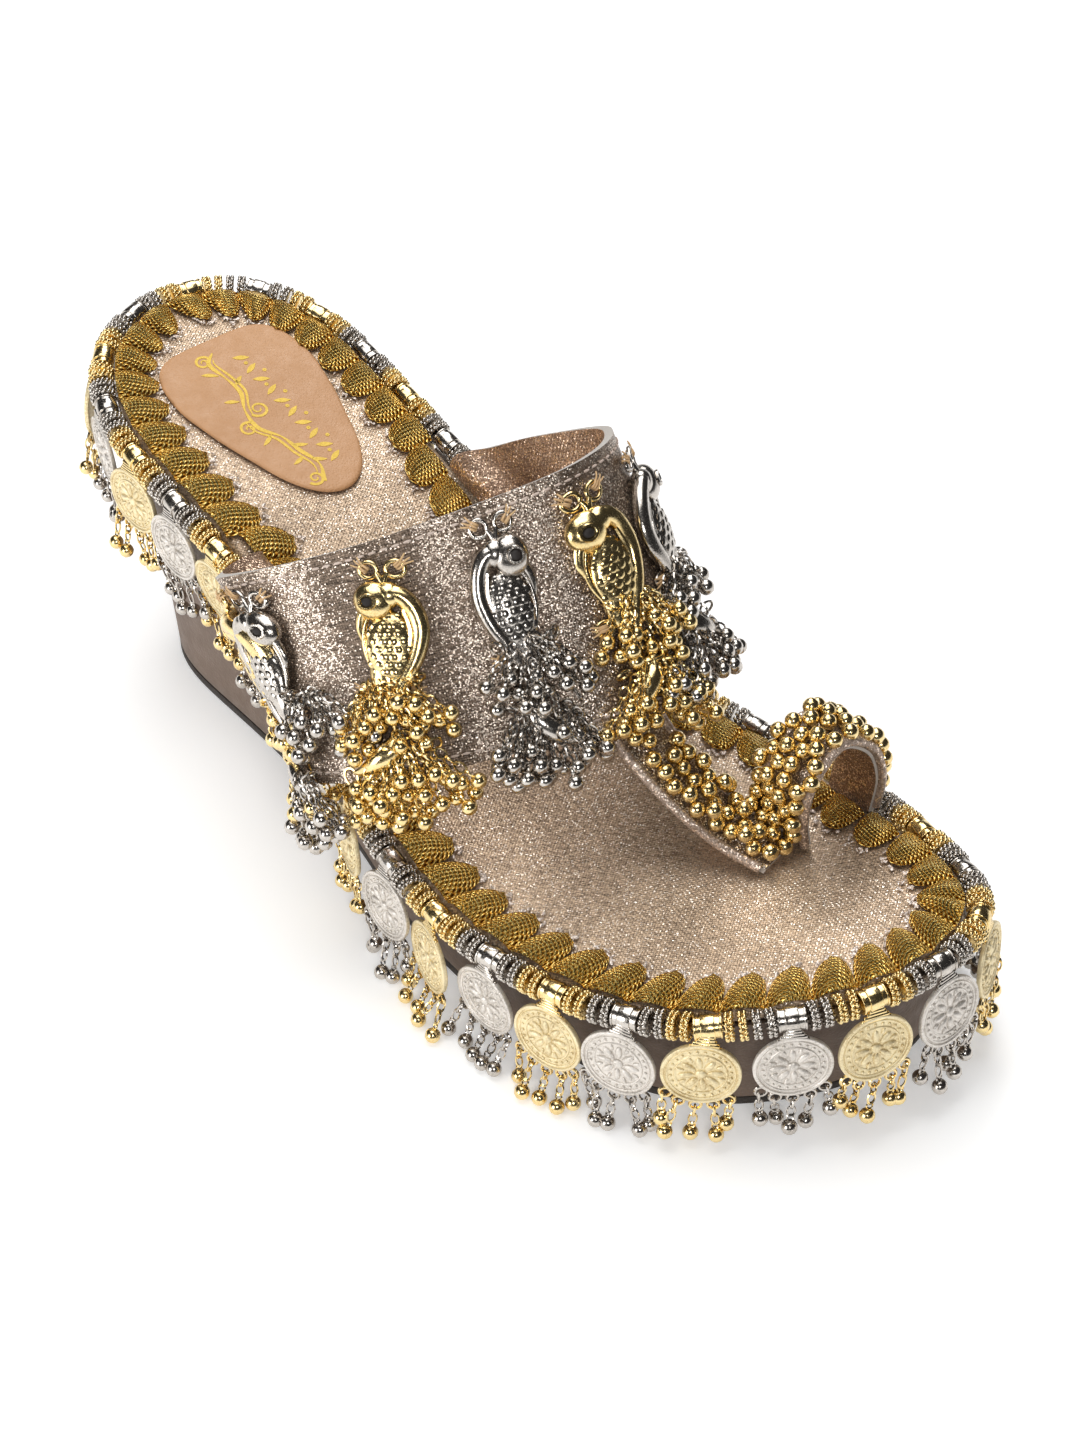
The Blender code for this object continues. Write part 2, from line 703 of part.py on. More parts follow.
def build_charms():
    """Peacock charms with their two bunches of bells, standing off the band."""
    for k, charm in enumerate(CHARMS):
        lumps = []
        for lump in CHARM_LUMPS:
            point, across, along, off = band_frame(charm.place, lump.reach)
            wide = lump.across * charm.spread if lump.bells else lump.across
            bm = bmesh.new()
            bmesh.ops.create_uvsphere(bm, u_segments=8, v_segments=4, radius=1.0)
            bmesh.ops.scale(bm, vec=(wide, lump.along, lump.off), verts=bm.verts)
            turn = Matrix((Vector(across), Vector(along), Vector(off))).transposed()
            bmesh.ops.rotate(bm, cent=(0, 0, 0), matrix=turn, verts=bm.verts)
            lift = point + off * (lump.off + CHARM_LIFT)
            bmesh.ops.translate(bm, vec=tuple(lift), verts=bm.verts)
            lumps.append(make_object(f"peacock_charm_{k + 1}", bm, (GOLD, SILVER)[k % 2]))
        join(*lumps)


def loop_cover_point(step, depth):
    """Underside of the beadwork on the toe loop, just off its outer face."""
    point = loop_point(step, depth)
    heading = loop_point(step + 0.05, depth) - loop_point(step - 0.05, depth)
    off = np.array([-heading[2], 0.0, heading[0]])
    return point + GAP * off / np.linalg.norm(off)


def build_bead_cover():
    """Beadwork on the toe strap and the toe loop, a layer just off their outer faces."""
    places = np.linspace(*STRAP_BEADING, 11)
    lifted = np.array([0.0, 0.0, STRAP_BEAD_LIFT])
    sides = (-0.72, 0.0, 0.6)
    bm = grid_sheet([[strap_point(place, side) + lifted for side in sides] for place in places])
    face_up(bm)
    cover = make_object("bead_cover", bm, GOLD)
    thicken(cover, BEAD_COVER, offset=1.0)

    places = np.linspace(*LOOP_BEADING, 16)
    depths = (0.12, 0.42, 0.72)
    bm = grid_sheet([[loop_cover_point(place, depth) for depth in depths] for place in places])
    face_up(bm)
    arch = make_object("loop beads", bm, GOLD)
    thicken(arch, BEAD_COVER, offset=1.0)
    join(cover, arch)


# ---------------------------------------------------------------- the shoe


def centre_on_origin():
    """Move everything so that the middle of the shoe's footprint is over the origin."""
    bpy.context.view_layer.update()
    graph = bpy.context.evaluated_depsgraph_get()
    corners = []
    for thing in PARTS.objects:
        settled = thing.evaluated_get(graph)
        mesh = settled.to_mesh()
        corners += [settled.matrix_world @ vertex.co for vertex in mesh.vertices]
        settled.to_mesh_clear()
    low = Vector([min(c[k] for c in corners) for k in range(3)])
    high = Vector([max(c[k] for c in corners) for k in range(3)])
    shift = -(low + high) / 2.0
    shift.z = -low.z
    for thing in PARTS.objects:
        thing.matrix_world = Matrix.Translation(shift) @ thing.matrix_world


clear_scene()
PARTS = bpy.data.collections.new("wedge_sandal")
bpy.context.scene.collection.children.link(PARTS)
RUBBER = make_material("black rubber", (0.02, 0.018, 0.016), 0.7, 0.0)
TAUPE = make_material("taupe covering", (0.3, 0.22, 0.17), 0.6, 0.1)
ROSE_FABRIC = make_material("rose gold fabric", (0.6, 0.46, 0.38), 0.5, 0.3)
BAND_FABRIC = make_material("shimmer fabric", (0.33, 0.24, 0.2), 0.45, 0.4)
ZARI = make_material("gold thread", (0.5, 0.3, 0.06), 0.4, 0.6)
TAN = make_material("tan leather", (0.58, 0.36, 0.22), 0.5, 0.0)
GOLD = make_material("gold plate", (0.83, 0.62, 0.26), 0.2, 1.0)
SILVER = make_material("silver plate", (0.6, 0.59, 0.57), 0.2, 1.0)

build_outsole()
build_wedge()
build_footbed()
build_petals()
build_sock()
build_upper()
build_trim()
build_pendants()
build_bead_cover()
build_charms()
centre_on_origin()
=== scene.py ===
"""Dressed model of a right-foot wedge slide with petals, coins, beadwork and peacock charms.

The CAD frame is loaded first. Every piece below is shaped on the same last, in millimetres: X is
across the shoe with the little-toe side at -X, -Y is towards the toe and Z = 0 is the floor. A
piece becomes metres in the frame's own place when it is cast.
"""

from __future__ import annotations

import logging
import math
from dataclasses import dataclass, field
from enum import Enum
from typing import Callable, Sequence

import bpy
import numpy as np
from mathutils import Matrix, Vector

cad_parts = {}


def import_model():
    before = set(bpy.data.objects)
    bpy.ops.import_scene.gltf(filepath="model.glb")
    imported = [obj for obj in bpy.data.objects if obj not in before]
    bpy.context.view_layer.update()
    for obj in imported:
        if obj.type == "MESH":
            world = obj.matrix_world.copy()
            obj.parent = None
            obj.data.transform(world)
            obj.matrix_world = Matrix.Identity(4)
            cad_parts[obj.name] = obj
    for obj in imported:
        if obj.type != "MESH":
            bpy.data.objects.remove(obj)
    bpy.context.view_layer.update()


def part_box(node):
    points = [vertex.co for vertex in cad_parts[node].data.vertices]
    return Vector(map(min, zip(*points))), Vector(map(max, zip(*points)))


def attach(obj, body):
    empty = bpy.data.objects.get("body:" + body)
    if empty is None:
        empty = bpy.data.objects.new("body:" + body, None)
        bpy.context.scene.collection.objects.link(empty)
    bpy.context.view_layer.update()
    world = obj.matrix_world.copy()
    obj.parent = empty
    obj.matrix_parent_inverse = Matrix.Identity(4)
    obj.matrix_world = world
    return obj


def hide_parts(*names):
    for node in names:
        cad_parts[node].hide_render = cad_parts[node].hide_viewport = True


LOG = logging.getLogger("wedge_slide")
MM = 0.001
UP = np.array([0.0, 0.0, 1.0])
PAINTED_SHEEN_SPAN = 0.184  # metres of the band's width that its run of painted highlight strips, bright and dull, covers
Array = np.ndarray
Surface = Callable[[Array, Array], Array]
Colour = tuple[float, float, float]


# ---------------------------------------------------------------- the last


def smooth(value: Array | float) -> Array:
    """Ease from 0 to 1 as value goes from 0 to 1."""
    value = np.clip(value, 0.0, 1.0)
    return value * value * (3.0 - 2.0 * value)


def unit(vectors: Array) -> Array:
    """Scale vectors to length one."""
    return vectors / np.maximum(np.linalg.norm(vectors, axis=-1, keepdims=True), 1e-9)


def walked(path: Array) -> Array:
    """Length walked along a path at each of its points."""
    return np.concatenate([[0.0], np.cumsum(np.linalg.norm(np.diff(path, axis=0), axis=1))])


def read_at(where: Array, lengths: Array, rows: Array) -> Array:
    """Points read off a path at some lengths along it."""
    return np.stack([np.interp(where, lengths, rows[:, k]) for k in range(3)], axis=-1)


def steps_of(shares: Array, count: int) -> Array:
    """Whole steps of a grid of so many cells, from places between 0 and 1."""
    return np.rint(shares * count).astype(int)


def pushes(spots: Array, gap: float) -> Array:
    """Steps that push balls apart where their centres are nearer than a gap."""
    away = spots[:, None] - spots[None]
    far = np.linalg.norm(away, axis=2) + np.eye(len(spots)) * 99.0
    return (np.maximum(gap - far, 0.0)[..., None] * away / far[..., None]).sum(axis=1)


def smooth_through(places: Sequence[float], values: Array, where: Array) -> Array:
    """Smooth curve through a few values, with the slopes of a hand-drawn line.

    Args:
        places: Where each value stands, rising.
        values: One value or row of values for each place.
        where: Places to read the curve at.

    Returns:
        The values read, one row for each place asked for.
    """
    places, values = np.asarray(places, float), np.asarray(values, float)
    slopes = np.gradient(values, places, axis=0)
    where = np.clip(np.asarray(where, float), places[0], places[-1])
    i = np.clip(np.searchsorted(places, where, side="right") - 1, 0, len(places) - 2)
    step = places[i + 1] - places[i]
    t = (where - places[i]) / step
    if values.ndim > 1:
        t, step = t[..., None], step[..., None]
    return (
        (2 * t**3 - 3 * t**2 + 1) * values[i]
        + (t**3 - 2 * t**2 + t) * step * slopes[i]
        + (-2 * t**3 + 3 * t**2) * values[i + 1]
        + (t**3 - t**2) * step * slopes[i + 1]
    )


def closed_spline(points: Array, count: int) -> Array:
    """Sample a smooth closed curve through plan points.

    Args:
        points: The points it passes through.
        count: How many samples to take.

    Returns:
        The samples, evenly spaced in the curve's own parameter.
    """
    steps = np.linalg.norm(np.roll(points, -1, axis=0) - points, axis=1)
    size = len(points)
    system, right = np.zeros((size, size)), np.zeros_like(points)
    for i in range(size):
        j, before, after = (i + 1) % size, steps[i - 1], steps[i]
        system[i, i - 1] = before
        system[i, i] = 2.0 * (before + after)
        system[i, j] = after
        right[i] = 6.0 * ((points[j] - points[i]) / after - (points[i] - points[i - 1]) / before)
    bends = np.linalg.solve(system, right)
    ends = np.concatenate([[0.0], np.cumsum(steps)])
    where = np.linspace(0.0, ends[-1], count, endpoint=False)
    i = np.searchsorted(ends, where, side="right") - 1
    j, step = (i + 1) % size, steps[i]
    a, b = ((ends[i + 1] - where) / step)[:, None], ((where - ends[i]) / step)[:, None]
    arc = ((a**3 - a) * bends[i] + (b**3 - b) * bends[j]) * (step * step / 6.0)[:, None]
    return a * points[i] + b * points[j] + arc


@dataclass
class Last:
    """The lines that every piece of the shoe is shaped on, in millimetres."""

    length: float = 250.0
    trim_radius: float = 2.9
    gap: float = 0.35
    outsole: float = 2.4
    wall_taper: float = 3.9
    undercut: float = 11.0
    undercut_reach: float = 75.0
    toe_spring: float = 3.0
    shank_lift: float = 1.6
    bed_thickness: float = 3.4
    bed_edge: float = 0.3
    bed_padding: float = 1.2
    padding_run: float = 11.0
    spine_start: float = 0.09
    batch: int = 4000
    shank: tuple[float, float] = (92.0, 122.0)
    shank_ease: float = 18.0
    spring_start: float = 212.0
    spring_run: float = 60.0
    # along, lateral half width, medial half width, height of the trim
    stations: tuple[tuple[float, float, float, float], ...] = (
        (0.0, 1.5, -1.5, 76.0),
        (10.0, 24.0, 21.5, 74.3),
        (26.0, 33.0, 28.8, 71.0),
        (50.0, 35.8, 30.0, 66.2),
        (80.0, 36.2, 28.8, 59.3),
        (110.0, 40.0, 30.5, 47.4),
        (140.0, 45.8, 35.8, 32.6),
        (165.0, 48.0, 43.4, 27.2),
        (190.0, 45.9, 48.0, 27.4),
        (212.0, 39.6, 47.0, 29.4),
        (230.0, 28.4, 43.2, 32.4),
        (243.0, 11.0, 35.8, 35.2),
        (250.0, -15.0, 15.0, 36.6),
    )
    ring: Array = field(init=False)
    out: Array = field(init=False)
    lengths: Array = field(init=False)
    rim_length: float = field(init=False)
    toe_distance: float = field(init=False)

    def __post_init__(self) -> None:
        """Lay out the line of the trim."""
        body = self.stations[1:-1]
        heel, toe = self.stations[0], self.stations[-1]
        lateral = [(-s[1], -s[0]) for s in body]
        medial = [(s[2], -s[0]) for s in reversed(body)]
        corners = [(-heel[1], -heel[0]), *lateral, (-toe[1], -toe[0]), *medial]
        plan = closed_spline(np.array(corners), 720)
        points = np.column_stack([plan, self.rim_height(-plan[:, 1])])
        heading = np.roll(points, -1, axis=0) - np.roll(points, 1, axis=0)
        outward = unit(np.column_stack([heading[:, 1], -heading[:, 0], np.zeros(len(plan))]))
        if ((points - points.mean(axis=0)) * outward).sum() < 0.0:
            outward = -outward
        steps = np.linalg.norm(np.roll(points, -1, axis=0) - points, axis=1)
        self.lengths = np.concatenate([[0.0], np.cumsum(steps)])
        self.ring, self.out = np.vstack([points, points[:1]]), np.vstack([outward, outward[:1]])
        self.rim_length = float(self.lengths[-1])
        self.toe_distance = float(self.lengths[int(np.argmin(points[:, 1]))])

    @property
    def rim_inset(self) -> float:
        """How far the side of the wedge stands inside the line of the trim."""
        return self.trim_radius + self.gap

    def rim_height(self, along: Array) -> Array:
        """Height of the line of the trim at a distance from the back of the heel."""
        return smooth_through([s[0] for s in self.stations], [s[3] for s in self.stations], along)

    def rim_at(self, distance: Array, inset: Array | float = 0.0) -> tuple[Array, Array]:
        """Read the line of the trim.

        Args:
            distance: Distances round the line from the back of the heel.
            inset: How far inwards to move each point.

        Returns:
            The points, and their level outward normals.
        """
        distance = np.mod(np.asarray(distance, float), self.rim_length)
        point = read_at(distance, self.lengths, self.ring)
        normal = unit(read_at(distance, self.lengths, self.out))
        return point - np.asarray(inset)[..., None] * normal, normal

    def trim_frame(self, distance: Array) -> tuple[Array, Array, Array, Array]:
        """Points of the trim's line with their directions along it, outwards and upwards."""
        point, out = self.rim_at(distance)
        along = unit(self.rim_at(distance + 0.5)[0] - self.rim_at(distance - 0.5)[0])
        out = unit(out - along * (out * along).sum(axis=-1, keepdims=True))
        return point, along, out, np.cross(out, along)

    def side_distance(self, along: Array, lateral: bool) -> Array:
        """Distance round the trim at which one side of it is this far from the heel."""
        low = self.lengths[:-1] <= self.toe_distance
        half = low if lateral else ~low
        places, lengths = -self.ring[:-1][half, 1], self.lengths[:-1][half]
        order = np.argsort(places)
        return np.interp(along, places[order], lengths[order])

    def bed_top(self, x: Array, y: Array) -> Array:
        """Height of the padded footbed at plan points."""
        x, y = np.asarray(x, float), np.asarray(y, float)
        flat_x, flat_y = x.ravel(), y.ravel()
        gaps = np.empty(len(flat_x))
        for start in range(0, len(flat_x), self.batch):
            part = slice(start, start + self.batch)
            away = np.hypot(
                self.ring[:, 0] - flat_x[part, None], self.ring[:, 1] - flat_y[part, None]
            )
            gaps[part] = away.min(axis=1) - self.rim_inset
        padding = self.bed_padding * smooth(gaps.reshape(x.shape) / self.padding_run)
        return self.rim_height(-y) + self.bed_edge + padding

    def ground(self, along: Array) -> Array:
        """Underside of the outsole: flat under heel and ball, lifted at the shank and the toe."""
        start, end = (smooth((along - place) / self.shank_ease) for place in self.shank)
        spring = smooth((along - self.spring_start) / self.spring_run)
        return self.shank_lift * start * (1.0 - end) + self.toe_spring * spring

    def foot_point(self, distance: Array, inset: Array | float = 0.0) -> Array:
        """Plan point of the wedge's lower edge under a distance round the trim."""
        point, _ = self.rim_at(distance, self.rim_inset + self.wall_taper + np.asarray(inset))
        point[..., 1] -= self.undercut * (1.0 - smooth(-point[..., 1] / self.undercut_reach))
        return point

    def rounds(self, count: int) -> Array:
        """Distances round the trim, paired from side to side, for an even count."""
        half = count // 2
        lateral = np.arange(half) / half * self.toe_distance
        medial = self.toe_distance + np.arange(half) / half * (self.rim_length - self.toe_distance)
        return np.concatenate([lateral, medial])

    def spine(self, count: int) -> Array:
        """Plan points of the middle line that the rows of a sole close on."""
        half = count // 2
        part = np.minimum(np.arange(count), count - np.arange(count)) / half
        part = np.clip(part, self.spine_start, 1.0 - self.spine_start)
        lateral = self.rim_at(part * self.toe_distance)[0]
        medial = self.rim_at(self.rim_length - part * (self.rim_length - self.toe_distance))[0]
        return (lateral + medial) / 2.0


# ---------------------------------------------------------------- the bench


@dataclass
class Blank:
    """Points, faces, finishes and UVs of a shape, ready to be placed, bent, copied and cast."""

    points: Array
    corners: Array
    sizes: Array
    slots: Array
    uvs: Array

    @classmethod
    def taken(cls, piece: bpy.types.Object) -> Blank:
        """Lift a modelled piece off the bench as a blank and clear it away.

        Args:
            piece: The modelled object, which is removed.

        Returns:
            Its shape.
        """
        mesh = piece.data
        points = np.empty(len(mesh.vertices) * 3)
        mesh.vertices.foreach_get("co", points)
        corners = np.empty(len(mesh.loops), np.int32)
        mesh.loops.foreach_get("vertex_index", corners)
        sizes = np.empty(len(mesh.polygons), np.int32)
        mesh.polygons.foreach_get("loop_total", sizes)
        uvs = np.zeros(len(mesh.loops) * 2)
        if mesh.uv_layers.active:
            mesh.uv_layers.active.data.foreach_get("uv", uvs)
        bpy.data.objects.remove(piece, do_unlink=True)
        bpy.data.meshes.remove(mesh)
        slots = np.zeros(len(sizes), np.int32)
        return cls(points.reshape(-1, 3), corners, sizes, slots, uvs.reshape(-1, 2))

    def bent(self, shape: Callable[[Array], Array]) -> Blank:
        """A copy with its points carried through a shape."""
        return Blank(shape(self.points), self.corners, self.sizes, self.slots, self.uvs)

    def sized(self, x: float, y: float | None = None, z: float | None = None) -> Blank:
        """A copy stretched along its own axes."""
        scale = np.array([x, x if y is None else y, x if z is None else z])
        return self.bent(lambda points: points * scale)

    def at(self, x: float, y: float, z: float = 0.0) -> Blank:
        """A copy moved by a step."""
        return self.bent(lambda points: points + np.array([x, y, z]))

    def turned(self, degrees: float, axis: int = 2) -> Blank:
        """A copy turned about one of its axes through the origin."""
        angle, first, second = math.radians(degrees), (axis + 1) % 3, (axis + 2) % 3
        turn = np.eye(3)
        turn[first, first] = turn[second, second] = math.cos(angle)
        turn[first, second], turn[second, first] = -math.sin(angle), math.sin(angle)
        return self.bent(lambda points: points @ turn.T)

    def set_on(self, origin: Array, x: Array, y: Array, z: Array) -> Blank:
        """A copy carried into a frame given by an origin and three directions."""
        frame = np.array([x, y, z])
        return self.bent(lambda points: origin + points @ frame)

    def painted(self, slot: int) -> Blank:
        """A copy that takes all of its finish from one slot."""
        slots = np.full(len(self.sizes), slot, np.int32)
        return Blank(self.points, self.corners, self.sizes, slots, self.uvs)


def joined(blanks: Sequence[Blank]) -> Blank:
    """Lay several blanks side by side in one."""
    starts = np.cumsum([0] + [len(blank.points) for blank in blanks[:-1]])
    return Blank(
        np.concatenate([blank.points for blank in blanks]),
        np.concatenate([blank.corners + start for blank, start in zip(blanks, starts)]),
        np.concatenate([blank.sizes for blank in blanks]),
        np.concatenate([blank.slots for blank in blanks]),
        np.concatenate([blank.uvs for blank in blanks]),
    )


class Bench:
    """Primitives, edit-mode steps and modifiers, all in millimetres."""

    @staticmethod
    def clear() -> None:
        """Leave edit mode and deselect everything."""
        if bpy.context.mode != "OBJECT":
            bpy.ops.object.mode_set(mode="OBJECT")
        bpy.ops.object.select_all(action="DESELECT")

    @staticmethod
    def hold(piece: bpy.types.Object) -> None:
        """Select one piece alone and make it the active one."""
        Bench.clear()
        piece.select_set(True)
        bpy.context.view_layer.objects.active = piece

    @staticmethod
    def edit(piece: bpy.types.Object, kind: str = "FACE") -> None:
        """Open a piece in edit mode with everything in it selected."""
        Bench.hold(piece)
        bpy.ops.object.mode_set(mode="EDIT")
        bpy.ops.mesh.select_mode(type=kind)
        bpy.ops.mesh.select_all(action="SELECT")

    @staticmethod
    def pick_faces(piece: bpy.types.Object, test: Callable[[Array, Array], bool]) -> None:
        """Select the faces whose centre and normal pass a test, and open edit mode on them."""
        Bench.edit(piece)
        bpy.ops.mesh.select_all(action="DESELECT")
        bpy.ops.object.mode_set(mode="OBJECT")
        for face in piece.data.polygons:
            face.select = bool(test(np.array(face.center), np.array(face.normal)))
        bpy.ops.object.mode_set(mode="EDIT")

    @staticmethod
    def apply(piece: bpy.types.Object) -> None:
        """Apply every modifier of a piece."""
        Bench.hold(piece)
        for modifier in list(piece.modifiers):
            bpy.ops.object.modifier_apply(modifier=modifier.name)

    @staticmethod
    def ball(radius: float, segments: int = 10, rings: int = 6) -> Blank:
        """A small ball."""
        Bench.clear()
        bpy.ops.mesh.primitive_uv_sphere_add(segments=segments, ring_count=rings, radius=radius)
        return Blank.taken(bpy.context.object)

    @staticmethod
    def hoop(major: float, minor: float, around: int = 12, section: int = 6) -> Blank:
        """A wire ring lying flat."""
        Bench.clear()
        bpy.ops.mesh.primitive_torus_add(
            major_radius=major, minor_radius=minor, major_segments=around, minor_segments=section
        )
        return Blank.taken(bpy.context.object)

    @staticmethod
    def drum(radius: float, depth: float, sides: int, bevel: float = 0.0) -> bpy.types.Object:
        """A capped cylinder standing on end, with its rims broken, left on the bench."""
        Bench.clear()
        bpy.ops.mesh.primitive_cylinder_add(vertices=sides, radius=radius, depth=depth)
        piece = bpy.context.object
        if bevel:
            rims = piece.modifiers.new("rims", "BEVEL")
            rims.width, rims.segments, rims.limit_method = bevel, 2, "ANGLE"
            rims.angle_limit = math.radians(50)
            Bench.apply(piece)
        return piece

    @staticmethod
    def sheet(columns: int, rows: int) -> Blank:
        """A unit grid from (0, 0) to (1, 1), with UVs, ready to be bent."""
        Bench.clear()
        bpy.ops.mesh.primitive_grid_add(
            x_subdivisions=columns, y_subdivisions=rows, size=1.0, location=(0.5, 0.5, 0.0)
        )
        piece = bpy.context.object
        bpy.ops.object.transform_apply(location=True)
        return Blank.taken(piece)

    @staticmethod
    def rod(path: Array, radii: Array | float, sides: int = 8) -> Blank:
        """A round bar swept along a path, closed at both ends.

        Args:
            path: Points along its middle.
            radii: Its radius at each point.
            sides: How many sides it has.

        Returns:
            The bar, whose seam and poles close when it is cast.
        """
        path = np.asarray(path, float)
        radii = np.broadcast_to(np.asarray(radii, float), len(path))
        path = np.vstack([path[:1], path, path[-1:]])
        radii = np.concatenate([[0.0], radii, [0.0]])
        heading = unit(np.gradient(path[1:-1], axis=0))
        heading = np.vstack([heading[:1], heading, heading[-1:]])
        side = unit(np.cross(heading, [0.13, 0.21, 0.97]))
        rise = np.cross(side, heading)
        count = len(path) - 1

        def swept(points: Array) -> Array:
            i = steps_of(points[:, 1], count)
            turn = points[:, 0] * 2.0 * np.pi
            ring = np.cos(turn)[:, None] * side[i] + np.sin(turn)[:, None] * rise[i]
            return path[i] + radii[i][:, None] * ring

        return Bench.sheet(sides, count).bent(swept)


class Workshop:
    """Casts blanks as pieces in the frame's place."""

    patch_side: float = 1.2
    patch_back: float = 13.5

    def __init__(self) -> None:
        """Find the last's place in the frame from the heel patch, a known step from its origin."""
        low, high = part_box("heel_sock")
        middle = (low[0] + high[0]) / 2.0 / MM
        self.shift = np.array([middle + self.patch_side, high[1] / MM + self.patch_back, 0.0])

    def placed(self, points: Array) -> Array:
        """Carry points in the last's millimetres into the frame."""
        return (points + self.shift) * MM

    def cast(
        self,
        name: str,
        blank: Blank,
        finishes: Sequence[bpy.types.Material],
        slot: str,
        stands_for: Sequence[str] = (),
        weld: float = 0.0,
        wall: float = 0.0,
        smooth_angle: float = 50.0,
        rim_slots: tuple[int, int] = (0, 0),
        outward: Callable[[Array], Array] | None = None,
    ) -> bpy.types.Object:
        """Make a piece of a blank.

        Args:
            name: The piece's name.
            blank: Its shape in millimetres.
            finishes: Its materials, in the order of the blank's slots.
            slot: The record's material slot; not used.
            stands_for: CAD nodes that it replaces.
            weld: Distance within which points are merged, to close seams and poles.
            wall: Thickness given to an open sheet, inwards.
            smooth_angle: Edges sharper than this stay crisp.
            rim_slots: How many slots further on the inner face and the rim of a wall are.
            outward: For an open sheet, the outward direction at each of its points.

        Returns:
            The finished object.
        """
        mesh = bpy.data.meshes.new(name)
        mesh.vertices.add(len(blank.points))
        mesh.vertices.foreach_set("co", self.placed(blank.points).ravel())
        mesh.loops.add(len(blank.corners))
        mesh.loops.foreach_set("vertex_index", blank.corners.astype(np.int32))
        mesh.polygons.add(len(blank.sizes))
        starts = np.concatenate([[0], np.cumsum(blank.sizes)[:-1]]).astype(np.int32)
        mesh.polygons.foreach_set("loop_start", starts)
        mesh.polygons.foreach_set("material_index", blank.slots.astype(np.int32))
        mesh.uv_layers.new(name="UVMap").data.foreach_set("uv", blank.uvs.ravel())
        mesh.update(calc_edges=True)
        mesh.validate()
        for finish in finishes:
            mesh.materials.append(finish)
        piece = bpy.data.objects.new(name, mesh)
        bpy.context.scene.collection.objects.link(piece)
        Bench.edit(piece, "VERT")
        if weld:
            bpy.ops.mesh.remove_doubles(threshold=weld * MM)
        bpy.ops.mesh.normals_make_consistent(inside=False)
        Bench.clear()
        if wall:
            self._face(piece, outward)
            shell = piece.modifiers.new("wall", "SOLIDIFY")
            shell.thickness, shell.offset, shell.use_even_offset = wall * MM, -1.0, True
            shell.material_offset, shell.material_offset_rim = rim_slots
            Bench.apply(piece)
        Bench.hold(piece)
        bpy.ops.object.shade_smooth_by_angle(angle=math.radians(smooth_angle))
        Bench.clear()
        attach(piece, "root")
        if stands_for:
            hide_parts(*stands_for)
        LOG.info("%s: %d faces", name, len(piece.data.polygons))
        return piece

    def _face(self, piece: bpy.types.Object, outward: Callable[[Array], Array] | None) -> None:
        """Turn an open sheet so that its normals point outwards."""
        mesh = piece.data
        normals, centres = np.empty(len(mesh.polygons) * 3), np.empty(len(mesh.polygons) * 3)
        mesh.polygons.foreach_get("normal", normals)
        mesh.polygons.foreach_get("center", centres)
        normals, centres = normals.reshape(-1, 3), centres.reshape(-1, 3) / MM - self.shift
        wanted = outward(centres) if outward else UP
        if (normals * wanted).sum() < 0.0:
            Bench.edit(piece)
            bpy.ops.mesh.flip_normals()
            Bench.clear()


# ---------------------------------------------------------------- finishes


class Graph:
    """Places and wires the nodes of one tree."""

    def __init__(self, tree: bpy.types.NodeTree) -> None:
        """Start on a tree."""
        self.tree = tree

    def node(self, kind: str, inputs: dict | None = None, **settings: object) -> bpy.types.Node:
        """Place a node.

        Args:
            kind: Its type, without the ShaderNode in front.
            inputs: Sockets to wire, or values to set, by socket name or number.
            **settings: Properties of the node.

        Returns:
            The node.
        """
        made = self.tree.nodes.new("ShaderNode" + kind)
        for name, value in settings.items():
            setattr(made, name, value)
        for name, value in (inputs or {}).items():
            self.feed(made.inputs[name], value)
        return made

    def feed(self, socket: bpy.types.NodeSocket, value: object) -> None:
        """Wire a socket to another, or set it to a value."""
        if isinstance(value, bpy.types.NodeSocket):
            self.tree.links.new(value, socket)
        else:
            socket.default_value = value

    def math(self, operation: str, first: object, second: object = 0.0) -> bpy.types.NodeSocket:
        """One step of arithmetic."""
        return self.node("Math", {0: first, 1: second}, operation=operation).outputs[0]

    def plus(self, first: object, second: object) -> bpy.types.NodeSocket:
        """The sum of two values."""
        return self.math("ADD", first, second)

    def times(self, first: object, second: object) -> bpy.types.NodeSocket:
        """The product of two values."""
        return self.math("MULTIPLY", first, second)

    def vector(self, operation: str, first: object, second: object) -> bpy.types.NodeSocket:
        """One step of vector arithmetic."""
        return self.node("VectorMath", {0: first, 1: second}, operation=operation).outputs[0]

    def noise(self, place: object, scale: float, detail: float = 2.0) -> bpy.types.NodeSocket:
        """Soft noise from 0 to 1."""
        inputs = {"Vector": place, "Scale": scale, "Detail": detail}
        return self.node("TexNoise", inputs).outputs["Fac"]

    def ramp(self, value: object, *stops: tuple[float, Colour]) -> bpy.types.NodeSocket:
        """Colours along a value."""
        made = self.node("ValToRGB", {0: value})
        elements = made.color_ramp.elements
        while len(elements) < len(stops):
            elements.new(0.5)
        for element, (place, colour) in zip(elements, stops):
            element.position, element.color = place, (*colour, 1.0)
        return made.outputs[0]

    def span(self, value: object, low: float, high: float, to: tuple[float, float]) -> object:
        """Carry a value's range from low..high to another range."""
        ends = {"From Min": low, "From Max": high, "To Min": to[0], "To Max": to[1]}
        return self.node("MapRange", {"Value": value, **ends}).outputs[0]

    def mix(self, factor: object, first: object, second: object) -> bpy.types.NodeSocket:
        """Mix two colours."""
        first = (*first, 1.0) if isinstance(first, tuple) and len(first) == 3 else first
        second = (*second, 1.0) if isinstance(second, tuple) and len(second) == 3 else second
        made = self.node("Mix", data_type="RGBA")
        for number, value in ((0, factor), (6, first), (7, second)):
            self.feed(made.inputs[number], value)
        return made.outputs[2]

    def group(self, tree: bpy.types.NodeTree, inputs: dict) -> bpy.types.Node:
        """Place a node group and feed it."""
        made = self.node("Group", node_tree=tree)
        for name, value in inputs.items():
            self.feed(made.inputs[name], value)
        return made


